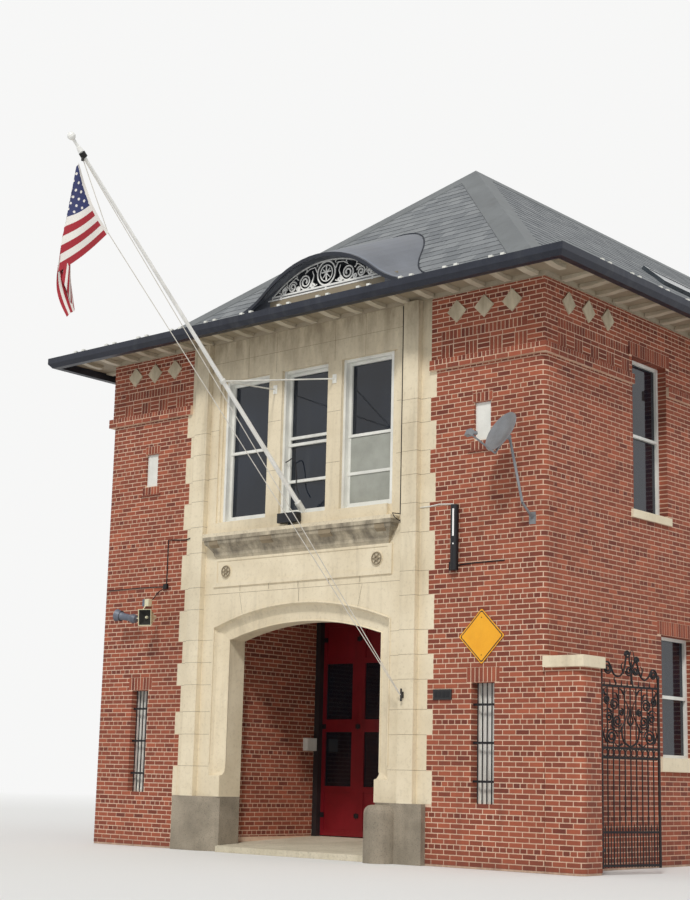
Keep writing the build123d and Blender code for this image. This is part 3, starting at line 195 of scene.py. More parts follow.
@dataclass
class Stack:
    """Many small forms that become one piece, with a tone value on every point."""

    name: str
    points: list[Point] = field(default_factory=list)
    faces: list[tuple[int, ...]] = field(default_factory=list)
    tones: list[float] = field(default_factory=list)

    def add(self, points: Iterable[Sequence[float]], faces: Iterable[Sequence[int]], tone: float = 0.5) -> None:
        """Adds one form.

        Args:
            points: Its points.
            faces: Its faces, counted from its own first point.
            tone: Where it lies between the dark and the light of its finish.
        """
        start = len(self.points)
        new = [(p[0], p[1], p[2]) for p in points]
        self.points.extend(new)
        self.tones.extend([tone] * len(new))
        self.faces.extend(tuple(start + i for i in f) for f in faces)

    def prism(self, outline: Sequence[Sequence[float]], depth: Sequence[float], tone: float = 0.5) -> None:
        """Closed form from an outline, anticlockwise seen from where depth points.

        Args:
            outline: Points of the near face.
            depth: How far and where the outline is pushed.
            tone: Tone of the form.
        """
        near = [Vector(p) for p in outline]
        far = [p + Vector(depth) for p in near]
        n = len(near)
        faces = [tuple(range(n - 1, -1, -1)), tuple(range(n, 2 * n))]
        faces += [(i, (i + 1) % n, n + (i + 1) % n, n + i) for i in range(n)]
        self.add(near + far, faces, tone)

    def box(self, low: Sequence[float], high: Sequence[float], tone: float = 0.5) -> None:
        """Upright block between two corners.

        Args:
            low: Its corner with the least x, y and z.
            high: Its corner with the greatest.
            tone: Tone of the form.
        """
        (x0, y0, z0), (x1, y1, z1) = low, high
        self.prism([(x0, y0, z0), (x1, y0, z0), (x1, y1, z0), (x0, y1, z0)], (0, 0, z1 - z0), tone)

    def tube(
        self,
        path: Sequence[Sequence[float]],
        radius: float,
        sides: int = 8,
        tone: float = 0.5,
        end_radius: float | None = None,
        flat: tuple[Vector, float] | None = None,
    ) -> None:
        """Round bar along a path.

        Args:
            path: Points of its centre line.
            radius: Its radius at the start.
            sides: Sides of its section.
            tone: Tone of the form.
            end_radius: Its radius at the end, where it tapers.
            flat: Direction in which the section is pressed, and the share that stays.
        """
        line = [Vector(p) for p in path]
        last = len(line) - 1
        steps = [(line[min(i + 1, last)] - line[max(i - 1, 0)]).normalized() for i in range(last + 1)]
        side = steps[0].orthogonal().normalized()
        rings: list[Vector] = []
        for i, (p, t) in enumerate(zip(line, steps)):
            side = (side - t * side.dot(t)).normalized()
            up = t.cross(side)
            r = radius if end_radius is None else radius + (end_radius - radius) * i / last
            for k in range(sides):
                a = 2 * math.pi * k / sides
                v = (side * math.cos(a) + up * math.sin(a)) * r
                if flat:
                    v -= flat[0] * v.dot(flat[0]) * (1 - flat[1])
                rings.append(p + v)
        faces: list[tuple[int, ...]] = [tuple(range(sides - 1, -1, -1))]
        for i in range(last):
            a, b = i * sides, (i + 1) * sides
            faces += [(a + k, a + (k + 1) % sides, b + (k + 1) % sides, b + k) for k in range(sides)]
        faces.append(tuple(last * sides + k for k in range(sides)))
        self.add(rings, faces, tone)

    def sheet(self, rows: Sequence[Sequence[Sequence[float]]], tone: float = 0.5) -> None:
        """Surface through rows of points.

        Args:
            rows: Rows with the same count of points in each.
            tone: Tone of the form.
        """
        n = len(rows[0])
        faces = [
            (i * n + k, i * n + k + 1, (i + 1) * n + k + 1, (i + 1) * n + k)
            for i in range(len(rows) - 1)
            for k in range(n - 1)
        ]
        self.add([p for row in rows for p in row], faces, tone)

    def build(
        self, finish: "Finish", slot: str, body: Body = Body.STATION, smooth: bool = False
    ) -> bpy.types.Object:
        """Makes the piece, gives it its finish and lets it ride on its body.

        Args:
            finish: Finish of the whole piece.
            slot: Material slot of the record; not used.
            body: Body it rides on.
            smooth: Whether faces that meet at under 35 degrees shade as one.

        Returns:
            The new object.
        """
        mesh = bpy.data.meshes.new(self.name)
        mesh.from_pydata(self.points, [], self.faces)
        tone = mesh.attributes.new("tone", "FLOAT", "POINT")
        tone.data.foreach_set("value", self.tones)
        mesh.materials.append(finish.material())
        piece = bpy.data.objects.new(self.name, mesh)
        bpy.context.scene.collection.objects.link(piece)
        if smooth:
            mesh.shade_smooth()
            mesh.set_sharp_from_angle(angle=math.radians(35))
        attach(piece, body.value)
        LOG.info("%s: %d faces", self.name, len(self.faces))
        return piece


# Shader groups and finishes


class Graph:
    """Short way to place and link shader nodes."""

    def __init__(self, tree: bpy.types.NodeTree) -> None:
        """Keeps the tree that the nodes go into."""
        self.tree = tree

    def node(self, kind: str, settings: dict | None = None, **values: object) -> bpy.types.Node:
        """Places a node.

        Args:
            kind: Blender's name of the node type.
            settings: Properties of the node itself.
            values: Sockets by name with underscores for spaces: a value, or an output to link.

        Returns:
            The node.
        """
        made = self.tree.nodes.new(kind)
        for key, value in (settings or {}).items():
            setattr(made, key, value)
        for key, value in values.items():
            place = int(key[1:]) if key[0] == "i" and key[1:].isdigit() else key.replace("_", " ")
            socket = made.inputs[place]
            if isinstance(value, bpy.types.NodeSocket):
                self.tree.links.new(value, socket)
            else:
                socket.default_value = value
        return made

    def mix(self, share: object, first: object, second: object, blend: str = "MIX") -> Socket:
        """Colour between two colours.

        Args:
            share: Value or output that says how much of the second shows.
            first: Colour or output.
            second: Colour or output.
            blend: Blender's blend type.

        Returns:
            The mixed colour's output.
        """
        settings = {"data_type": "RGBA", "blend_type": blend}
        return self.node("ShaderNodeMix", settings, i0=share, i6=first, i7=second).outputs[2]

    def span(self, value: object, low: object, high: object, new_low: float = 0, new_high: float = 1) -> Socket:
        """Value stretched from one span to another and held inside it."""
        ends = {"From_Min": low, "From_Max": high, "To_Min": new_low, "To_Max": new_high}
        return self.node("ShaderNodeMapRange", None, Value=value, **ends).outputs[0]

    def maths(self, kind: str, first: object, second: object = 0.5) -> Socket:
        """One step of arithmetic with Blender's name of the operation."""
        return self.node("ShaderNodeMath", {"operation": kind}, i0=first, i1=second).outputs[0]

    def where(self) -> Socket:
        """Place of a point in metres, in the frame of the solids."""
        return self.node("ShaderNodeTexCoord").outputs["Object"]

    def axis(self, number: int) -> Socket:
        """Place along x, y or z: 0, 1 or 2."""
        return self.node("ShaderNodeSeparateXYZ", None, Vector=self.where()).outputs[number]

    def noise(self, where: Socket, scale: object, detail: float, rough: float = 0.5) -> Socket:
        """Value of Blender's noise at a place."""
        settings = {"Scale": scale, "Detail": detail, "Roughness": rough}
        return self.node("ShaderNodeTexNoise", None, Vector=where, **settings).outputs[0]

    def tall(self, share: float) -> Socket:
        """Place with its height pressed to a share, which stretches what is drawn there."""
        return self.node("ShaderNodeMapping", None, Vector=self.where(), Scale=(1.0, 1.0, share)).outputs[0]

    def attribute(self, name: str) -> Socket:
        """Value that the mesh keeps at each point under this name."""
        return self.node("ShaderNodeAttribute", {"attribute_name": name}).outputs["Fac"]


def group(name: str) -> bpy.types.NodeTree:
    """Shader node group, built once from its entry in GROUPS.

    Args:
        name: Its name.

    Returns:
        The group's tree.
    """
    tree = bpy.data.node_groups.get(name)
    if tree:
        return tree
    inputs, outputs, fill = GROUPS[name]
    tree = bpy.data.node_groups.new(name, "ShaderNodeTree")
    for key, value in inputs.items():
        kind = NUMBER if isinstance(value, (int, float)) else COLOUR
        tree.interface.new_socket(name=key, in_out="INPUT", socket_type=kind).default_value = value
    for key, kind in outputs.items():
        tree.interface.new_socket(name=key, in_out="OUTPUT", socket_type=kind)
    graph = Graph(tree)
    start, end = graph.node("NodeGroupInput"), graph.node("NodeGroupOutput")
    made = fill(graph, {key: start.outputs[key] for key in inputs})
    for key, socket in made.items():
        tree.links.new(socket, end.inputs[key])
    return tree


def fill_mottle(g: Graph, given: dict[str, Socket]) -> dict[str, Socket]:
    """Soft patches of two colours with fine specks in them.

    Args:
        g: Graph of the group.
        given: Its inputs by name.

    Returns:
        Its outputs by name.
    """
    where = g.where()
    share = g.span(g.noise(where, given["Scale"], 6.0, 0.62), 0.32, 0.68)
    colour = g.mix(share, given["Dark"], given["Light"])
    fine = g.noise(where, g.maths("MULTIPLY", given["Scale"], 23.0), 3.0, 0.7)
    amount = g.maths("MULTIPLY", g.span(fine, 0.52, 0.7), given["Specks"])
    return {"Color": g.mix(amount, colour, given["Speck Color"]), "Mask": share}


def fill_grain(g: Graph, given: dict[str, Socket]) -> dict[str, Socket]:
    """Height of a rough surface: coarse noise and fine pits together.

    Args:
        g: Graph of the group.
        given: Its inputs by name.

    Returns:
        Its outputs by name.
    """
    where = g.where()
    coarse = g.noise(where, given["Scale"], 8.0, 0.65)
    pits = g.node("ShaderNodeTexVoronoi", None, Vector=where, Scale=given["Scale"]).outputs["Distance"]
    share = g.maths("MULTIPLY", g.span(pits, 0.0, 0.25), given["Pits"])
    return {"Height": g.maths("ADD", coarse, share)}


def fill_rain(g: Graph, given: dict[str, Socket]) -> dict[str, Socket]:
    """Upright streaks, drawn by noise that is stretched along z, under broad patches.

    Args:
        g: Graph of the group.
        given: Its inputs by name.

    Returns:
        Its outputs by name.
    """
    lines = g.span(g.noise(g.tall(0.09), given["Scale"], 5.0, 0.6), 0.5, 0.72)
    place = g.span(g.noise(g.where(), 0.6, 2.0), 0.38, 0.62)
    share = g.maths("MULTIPLY", g.maths("MULTIPLY", lines, place), given["Amount"])
    return {"Color": g.mix(share, given["Color"], given["Stain"])}


def fill_band_darkening(g: Graph, given: dict[str, Socket]) -> dict[str, Socket]:
    """Colour made darker in patches from one height to another, and only below a ledge: darker towards the foot of
    the walls, and grime with painted shade under the eaves and under the cornice's shelf.

    Args:
        g: Graph of the group.
        given: Its inputs by name.

    Returns:
        Its outputs by name.
    """
    height = g.axis(2)
    patches = g.span(g.noise(g.tall(0.3), 5.0, 6.0, 0.65), 0.3, 0.62, 0.25, 1.0)
    rise, under = g.span(height, given["Low"], given["High"]), g.maths("LESS_THAN", height, given["Ledge"])
    share = g.maths("MULTIPLY", rise, under)
    share = g.maths("MULTIPLY", g.maths("MULTIPLY", share, patches), given["Amount"])
    return {"Color": g.mix(share, given["Color"], given["Soot"])}


BLACK, WHITE = (0, 0, 0, 1), (1, 1, 1, 1)
NUMBER, COLOUR = "NodeSocketFloat", "NodeSocketColor"

# Each shader group: its inputs with their defaults, its outputs with their types, and what fills it
GROUPS: dict[str, tuple[dict[str, object], dict[str, str], Callable[[Graph, dict], dict]]] = {
    "mottle": (
        {"Dark": BLACK, "Light": WHITE, "Speck Color": BLACK, "Scale": 1.0, "Specks": 0.2},
        {"Color": COLOUR, "Mask": NUMBER},
        fill_mottle,
    ),
    "grain": ({"Scale": 40.0, "Pits": 0.3}, {"Height": NUMBER}, fill_grain),
    "rain": ({"Color": WHITE, "Stain": BLACK, "Scale": 6.0, "Amount": 0.3}, {"Color": COLOUR}, fill_rain),
    "soot": (
        {"Color": WHITE, "Soot": BLACK, "Low": 7.0, "High": 8.0, "Ledge": 20.0, "Amount": 0.5},
        {"Color": COLOUR},
        fill_band_darkening,
    ),
}


@dataclass(frozen=True)
class Finish:
    """Mottled finish with grain, specks, rain streaks and, where toned, a tone for each small form."""

    name: str
    dark: Colour
    light: Colour
    scale: float = 1.2
    speck: Colour = (40, 36, 32)
    specks: float = 0.15
    stain: Colour = (84, 74, 62)
    stains: float = 0.25
    grain_scale: float = 60.0
    pits: float = 0.3
    bump: float = 0.3
    bump_depth: float = 0.004
    rough: tuple[float, float] = (0.75, 0.92)
    metallic: float = 0.0
    coat: float = 0.0
    toned: tuple[Colour, Colour] | None = None
    darker_band: tuple[float, float, float, float] | None = None

    def material(self) -> bpy.types.Material:
        """The finish's material, made on first use.

        Returns:
            The material.
        """
        title = f"{self.name}_finish"
        made = bpy.data.materials.get(title)
        if made:
            return made
        made = bpy.data.materials.new(title)
        made.use_nodes = True
        made.diffuse_color = linear(self.light)
        g = Graph(made.node_tree)
        self.shade(g, made.node_tree.nodes["Principled BSDF"])
        return made

    def colour(self, g: Graph) -> tuple[Socket, Socket]:
        """Colour of the surface and the mask of its patches.

        Args:
            g: Graph of the material.

        Returns:
            Colour output and mask output.
        """
        shades = {"Dark": linear(self.dark), "Light": linear(self.light), "Speck_Color": linear(self.speck)}
        amounts = {"Scale": self.scale, "Specks": self.specks}
        patches = g.node("ShaderNodeGroup", {"node_tree": group("mottle")}, **shades, **amounts)
        colour = patches.outputs["Color"]
        if self.toned:
            tint = g.mix(g.attribute("tone"), linear(self.toned[0]), linear(self.toned[1]))
            colour = g.mix(0.62, colour, tint)
        # Darker band by height: on the limestone and the cornice it is grime with painted shade under the eaves and
        # under the shelf.
        if self.darker_band:
            levels = dict(zip(("Low", "High", "Ledge", "Amount"), self.darker_band))
            colours = {"Color": colour, "Soot": linear(self.stain)}
            darkened = g.node("ShaderNodeGroup", {"node_tree": group("soot")}, **colours, **levels)
            colour = darkened.outputs["Color"]
        streaks = {"Color": colour, "Stain": linear(self.stain), "Amount": self.stains}
        stained = g.node("ShaderNodeGroup", {"node_tree": group("rain")}, **streaks)
        return stained.outputs["Color"], patches.outputs["Mask"]

    def shade(self, g: Graph, shader: bpy.types.Node) -> None:
        """Links the finish to the material's shader.

        Args:
            g: Graph of the material.
            shader: Its Principled BSDF.
        """
        colour, mask = self.colour(g)
        g.tree.links.new(colour, shader.inputs["Base Color"])
        g.tree.links.new(g.span(mask, 0, 1, *self.rough), shader.inputs["Roughness"])
        shader.inputs["Metallic"].default_value = self.metallic
        shader.inputs["Coat Weight"].default_value = self.coat
        rough = g.node("ShaderNodeGroup", {"node_tree": group("grain")}, Scale=self.grain_scale, Pits=self.pits)
        raised = {"Height": rough.outputs["Height"], "Strength": self.bump, "Distance": self.bump_depth}
        bump = g.node("ShaderNodeBump", None, **raised)
        g.tree.links.new(bump.outputs[0], shader.inputs["Normal"])


@dataclass(frozen=True)
class Glass(Finish):
    """Old window glass, faintly wavy and dusty, and partly clear; its dark colour is painted shade of the rooms
    behind it and painted reflection of the sky.
    """

    clear: float = 0.55

    def shade(self, g: Graph, shader: bpy.types.Node) -> None:
        """Links the glass to the material's shader.

        Args:
            g: Graph of the material.
            shader: Its Principled BSDF.
        """
        Finish.shade(self, g, shader)
        shader.inputs["Transmission Weight"].default_value = self.clear
        shader.inputs["IOR"].default_value = 1.5
        shader.inputs["Specular IOR Level"].default_value = 0.6


@dataclass(frozen=True)
class Boards(Finish):
    """Boards side by side, with a dark line between them, counted along x or y."""

    width: float = 0.1
    across: int = 0

    def colour(self, g: Graph) -> tuple[Socket, Socket]:
        """Mottled colour with a dark line at each board's edge.

        Args:
            g: Graph of the material.

        Returns:
            Colour output and mask output.
        """
        base, mask = Finish.colour(self, g)
        part = g.maths("FRACT", g.maths("DIVIDE", g.axis(self.across), self.width))
        line = g.span(part, 0.0, 0.06, 0.55, 0.0)
        return g.mix(line, base, linear(self.speck)), mask


@dataclass(frozen=True)
class TwoPaints(Finish):
    """Two paints on one piece, parted at a value of x, y or z."""

    axis: int = 2
    part: float = 0.0
    above: tuple[Colour, Colour] = ((0, 0, 0), (255, 255, 255))

    def colour(self, g: Graph) -> tuple[Socket, Socket]:
        """The first paint below the parting value and the second above it.

        Args:
            g: Graph of the material.

        Returns:
            Colour output and mask output.
        """
        base, mask = Finish.colour(self, g)
        second = g.mix(mask, linear(self.above[0]), linear(self.above[1]))
        over = g.maths("GREATER_THAN", g.axis(self.axis), self.part)
        return g.mix(over, base, second), mask


@dataclass(frozen=True)
class Flag(Finish):
    """Thirteen stripes and a blue canton with rows of white stars, by the cloth's own down and along values."""

    red: Colour = (160, 24, 42)
    white: Colour = (232, 228, 222)
    blue: Colour = (38, 48, 98)
    stripes: int = 13
    canton_stripes: int = 7
    canton_end: float = 0.42
    star_rows: int = 9
    star_columns: int = 11
    star: float = 0.075
    heading: float = 0.025

    def colour(self, g: Graph) -> tuple[Socket, Socket]:
        """Stripes, canton, stars and the white heading at the rope.

        Args:
            g: Graph of the material.

        Returns:
            Colour output and mask output.
        """
        down, along = g.attribute("down"), g.attribute("along")
        red, white, blue = (linear(c) for c in (self.red, self.white, self.blue))
        stripe = g.maths("GREATER_THAN", g.maths("FRACT", g.maths("MULTIPLY", down, self.stripes / 2)), 0.5)
        cloth = g.mix(stripe, red, white)
        low = g.maths("LESS_THAN", down, self.canton_stripes / self.stripes)
        in_canton = g.maths("MULTIPLY", low, g.maths("LESS_THAN", along, self.canton_end))
        row = g.maths("MULTIPLY", down, self.star_rows * self.stripes / self.canton_stripes)
        column = g.maths("MULTIPLY", along, self.star_columns / self.canton_end)
        cell = g.maths("ADD", g.maths("FLOOR", row, 0), g.maths("FLOOR", column, 0))
        odd = g.maths("FRACT", g.maths("MULTIPLY", cell, 0.5))
        dy = g.maths("SUBTRACT", g.maths("FRACT", row), 0.5)
        dx = g.maths("SUBTRACT", g.maths("FRACT", column), 0.5)
        near = g.maths("ADD", g.maths("MULTIPLY", dy, dy), g.maths("MULTIPLY", dx, dx))
        star = g.maths("MULTIPLY", g.maths("LESS_THAN", near, self.star), g.maths("LESS_THAN", odd, 0.25))
        cloth = g.mix(in_canton, cloth, g.mix(star, blue, white))
        cloth = g.mix(g.maths("LESS_THAN", along, self.heading), cloth, white)
        mask = g.span(g.noise(g.where(), 3.0, 4.0), 0.35, 0.7)
        return g.mix(g.maths("MULTIPLY", mask, 0.16), cloth, linear(self.stain)), mask


# Each finish: dark and light colour, scale of the patches, speck colour and amount, stain colour and amount,
# grain scale, pits, bump, depth of the bump, least and most roughness, metallic, coat; what is left out keeps
# the default of its class.
MORTAR = Finish(
    "mortar", (208, 174, 148), (230, 202, 178), 0.9, (160, 130, 110), 0.25, (132, 108, 94), 0.3, 90, 0.5, 0.4,
    darker_band=(0.16, 0.0, 20.0, 0.8),
)
BRICK = Finish(
    "red_brick", (120, 56, 42), (154, 80, 58), 7.0, (74, 38, 30), 0.35, (88, 54, 44), 0.24, 70, 0.5, 0.35, 0.003,
    (0.8, 0.95), toned=((86, 38, 30), (176, 96, 68)), darker_band=(0.3, 0.0, 20.0, 0.5),
)
# Darker band from 7.0 to 8.1 m: grime and painted shade of the eaves.
LIMESTONE = Finish(
    "limestone", (212, 198, 170), (234, 222, 196), 0.8, (150, 134, 108), 0.2, (122, 108, 88), 0.28, 55, 0.4, 0.3,
    darker_band=(7.0, 8.1, 20.0, 0.75),
)
# Darker from 4.5 m up to the shelf at 4.9 m: grime and painted shade under the shelf.
CORNICE_STONE = Finish(
    "cornice_stone", (204, 190, 164), (228, 216, 190), 1.4, (110, 98, 84), 0.3, (86, 78, 68), 0.3, 55, 0.4, 0.3,
    darker_band=(4.5, 4.64, 4.9, 0.8),
)
# Darker stone for the joints; on the cornice blocks and the rosette rings it is painted shade.
STONE_JOINT = Finish("stone_joint", (126, 112, 92), (154, 140, 116), 3.0, (90, 80, 66), 0.2)
GRANITE = Finish(
    "granite", (130, 121, 106), (164, 153, 136), 2.2, (60, 56, 52), 0.45, (96, 86, 72), 0.4, 80, 0.6, 0.5,
)
PLASTER = Finish(
    "plaster", (196, 186, 170), (216, 208, 194), 1.0, (150, 140, 124), 0.1, (140, 126, 108), 0.3, 30, 0.1, 0.15,
)
CONCRETE = Finish(
    "concrete", (188, 179, 156), (214, 205, 184), 1.4, (110, 102, 90), 0.35, (120, 110, 94), 0.4, 60, 0.6, 0.4,
)
FLOOR_BOARDS = Boards("floor_boards", (112, 82, 54), (140, 106, 72), 2.0, (56, 40, 28), 0.2, width=0.09)
RED_PAINT = Finish(
    "red_paint", (104, 12, 22), (128, 18, 30), 1.6, (54, 8, 14), 0.1, (50, 12, 16), 0.35, 18, 0.0, 0.12, 0.002,
    (0.3, 0.45), coat=0.2,
)
DARK_PAINT = Finish(
    "dark_paint", (34, 32, 34), (48, 44, 46), 1.5, (20, 18, 18), 0.1, (70, 60, 52), 0.2, 20, 0.0, 0.12, 0.002,
    (0.35, 0.5),
)
WHITE_PAINT = Finish(
    "white_paint", (214, 214, 208), (236, 236, 230), 2.5, (150, 146, 136), 0.12, (150, 142, 128), 0.3, 26, 0.1,
    0.15, 0.002, (0.4, 0.55),
)
EAVES_PAINT = Finish(
    "eaves_paint", (136, 124, 104), (156, 144, 122), 1.3, (96, 84, 68), 0.2, (96, 84, 68), 0.4, 22, 0.1, 0.15,
    0.003, (0.55, 0.7),
)
BRACKET_PAINT = Finish(
    "bracket_paint", (172, 162, 142), (196, 186, 166), 2.0, (110, 98, 80), 0.15, (110, 98, 80), 0.3, 30, 0.1, 0.15,
    0.003, (0.5, 0.65),
)
GUTTER_METAL = Finish(
    "gutter_metal", (30, 34, 46), (48, 52, 64), 1.8, (96, 98, 100), 0.12, (92, 94, 96), 0.3, 14, 0.0, 0.15, 0.003,
    (0.35, 0.55), 0.35,
)
CAP_METAL = Finish(
    "cap_metal", (94, 98, 100), (122, 126, 128), 1.5, (60, 62, 64), 0.15, (70, 70, 66), 0.35, 18, 0.0, 0.2, 0.003,
    (0.5, 0.7), 0.3,
)
EYEBROW_METAL = Finish(
    "eyebrow_metal", (90, 94, 102), (118, 122, 130), 1.6, (34, 36, 44), 0.15, (110, 112, 112), 0.25, 16, 0.0, 0.15,
    0.003, (0.4, 0.6), 0.2,
)
GRILLE_PAINT = Finish(
    "grille_paint", (240, 240, 236), (252, 252, 249), 6.0, (150, 130, 110), 0.15, (140, 124, 106), 0.2, 40, 0.1,
    0.15, 0.002, (0.45, 0.6),
)
RIM_METAL = TwoPaints(
    "rim_metal", (22, 26, 36), (38, 44, 56), 2.0, (70, 74, 80), 0.1, (90, 92, 96), 0.2, 16, 0.0, 0.15, 0.003,
    (0.35, 0.5), 0.2, axis=1, part=0.245, above=((92, 98, 112), (118, 124, 136)),
)
SEAM_METAL = Finish("seam_metal", (22, 26, 36), (38, 44, 56), 2.0, (70, 74, 80), 0.1, (90, 92, 96), 0.2, 16)
# Whiter than the white paint elsewhere: the pole's white paint with painted sunlight on it.
POLE_WHITE_AND_HIGHLIGHT = Finish(
    "pole_paint", (234, 234, 230), (250, 250, 247), 3.0, (130, 120, 108), 0.12, (140, 130, 116), 0.3, 30, 0.1,
    0.12, 0.002, (0.3, 0.45),
)
BLACK_IRON = Finish(
    "black_iron", (18, 19, 22), (32, 32, 36), 4.0, (84, 52, 36), 0.2, (78, 52, 38), 0.25, 60, 0.3, 0.3, 0.002,
    (0.4, 0.6), 0.4,
)
FITTINGS_PAINT = TwoPaints(
    "fittings_paint", (18, 19, 22), (32, 32, 36), 4.0, (84, 52, 36), 0.15, (78, 52, 38), 0.2, 60, 0.3, 0.2, 0.002,
    (0.35, 0.5), part=4.9, above=((208, 207, 200), (238, 238, 232)),
)
ROPE = Finish(
    "rope", (196, 192, 182), (220, 216, 208), 9.0, (130, 120, 104), 0.3, (130, 120, 104), 0.2, 220, 0.4, 0.6,
    0.003,
)
DISH_METAL = Finish(
    "dish_metal", (118, 120, 124), (146, 148, 152), 3.0, (70, 66, 62), 0.2, (84, 70, 58), 0.35, 30, 0.1, 0.15,
    0.002, (0.35, 0.55), 0.3,
)
HORN_METAL = TwoPaints(
    "horn_metal", (84, 90, 104), (112, 118, 132), 4.0, (50, 50, 54), 0.2, (70, 62, 54), 0.3, 30, 0.1, 0.15, 0.002,
    (0.35, 0.5), 0.1, axis=0, part=-3.39, above=((196, 188, 150), (226, 220, 190)),
)
# Near black: painted shade inside the horns' hollows.
HORN_HOLLOW_SHADE = Finish(
    "horn_hollow_shade", (26, 26, 26), (44, 42, 38), 4.0, (90, 84, 70), 0.2, (70, 62, 54), 0.3, 30, 0.1, 0.15, 0.002,
)
LIT_TUBE = Finish(
    "lit_tube", (240, 240, 238), (252, 252, 250), 3.0, (200, 200, 196), 0.05, (190, 186, 178), 0.1, 20, 0.0, 0.05,
    0.002, (0.2, 0.3),
)
BLIND = Finish(
    "blind", (138, 140, 132), (164, 166, 158), 2.0, (120, 116, 104), 0.1, (120, 112, 96), 0.3, 40, 0.1, 0.2,
)
LIGHT_METAL = Finish(
    "light_metal", (22, 22, 25), (38, 38, 42), 4.0, (90, 88, 84), 0.12, (90, 86, 80), 0.2, 30, 0.1, 0.15, 0.002,
    (0.4, 0.55), 0.4,
)
# Dark blue-grey of the windows: painted shade of the rooms behind, with painted reflection of the sky.
WINDOW_GLASS = Glass(
    "window_glass", (20, 28, 42), (40, 52, 70), 0.7, (120, 120, 112), 0.05, (110, 112, 108), 0.15, 1.6, 0.0, 0.06,
    0.01, (0.03, 0.1),
)
# Near-black door glass: painted shade of the room behind the doors.
DOOR_GLASS = Glass(
    "door_glass", (14, 22, 32), (26, 36, 48), 0.9, (90, 90, 86), 0.05, (80, 80, 76), 0.15, 1.6, 0.0, 0.06, 0.01,
    (0.05, 0.12), clear=0.3,
)
# Grey-blue of the roof light: painted reflection of the sky.
ROOF_GLASS = Glass(
    "roof_light_glass", (64, 72, 80), (92, 100, 106), 0.9, (130, 128, 120), 0.1, (120, 118, 110), 0.3, 1.6, 0.0,
    0.06, 0.01, (0.1, 0.25), clear=0.3,
)
SLATE = Finish(
    "slate", (98, 102, 106), (128, 132, 136), 2.2, (66, 68, 70), 0.25, (76, 78, 78), 0.3, 24, 0.2, 0.4, 0.004,
    (0.6, 0.8), toned=((102, 106, 110), (140, 143, 145)),
)
SIGN_YELLOW = Finish(
    "sign_yellow", (232, 158, 20), (244, 176, 34), 3.0, (150, 100, 30), 0.08, (150, 110, 50), 0.2, 20, 0.0, 0.08,
    0.002, (0.3, 0.45),
)
SIGN_BLACK = Finish(
    "sign_black", (22, 22, 24), (34, 34, 36), 3.0, (80, 76, 70), 0.1, (70, 66, 60), 0.2, 20, 0.0, 0.08, 0.002,
    (0.35, 0.5),
)
FLAG_CLOTH = Flag(
    "flag_cloth", (200, 200, 200), (230, 230, 230), stain=(96, 88, 80), grain_scale=420, pits=0.2, bump=0.25,
    bump_depth=0.001, rough=(0.7, 0.85),
)

CAD_FINISHES: dict[Finish, tuple[str, ...]] = {
    MORTAR: (
        "front_wall_right", "front_wall_left", "right_wall", "left_wall", "rear_wall", "brick_band",
        "porch_wall_right", "porch_wall_left", "gate_pier",
    ),
    LIMESTONE: (
        "frieze_diamonds", "quoin_pier_right", "quoin_pier_left", "arch_jamb_right", "arch_jamb_left", "arch_head",
        "panel_over_arch", "window_sill", "mullion_right", "mullion_left", "window_jamb_right",
        "window_jamb_left", "window_lintel", "pier_cap", "side_sills",
    ),
    CORNICE_STONE: ("sill_cornice",),
    GRANITE: ("granite_base_right", "granite_base_left", "guard_stone"),
    PLASTER: ("porch_ceiling",),
    CONCRETE: ("porch_floor", "ground_floor"),
    FLOOR_BOARDS: ("upper_floor",),
    RED_PAINT: ("door_leaf_1", "door_leaf_2", "door_leaf_3", "door_leaf_4"),
    DARK_PAINT: ("door_frame",),
    DOOR_GLASS: ("door_glass",),
    WINDOW_GLASS: ("front_window_glass", "side_window_glass"),
    WHITE_PAINT: ("front_windows", "small_windows", "side_windows"),
    EAVES_PAINT: ("eaves",),
    BRACKET_PAINT: ("modillions",),
    GUTTER_METAL: ("gutter",),
    SLATE: ("slate_roof",),
    CAP_METAL: ("ridge_caps",),
    ROOF_GLASS: ("roof_light",),
    EYEBROW_METAL: ("eyebrow_roof",),
    RIM_METAL: ("eyebrow_rim",),
    GRILLE_PAINT: ("eyebrow_grille",),
    POLE_WHITE_AND_HIGHLIGHT: ("flagpole",),
    FITTINGS_PAINT: ("iron_fittings",),
    BLACK_IRON: ("gate_leaf",),
    ROPE: ("halyard",),
    FLAG_CLOTH: ("flag",),
    DISH_METAL: ("satellite_dish",),
    HORN_METAL: ("horn_speakers",),
    LIGHT_METAL: ("wall_lights",),
}


# Brickwork


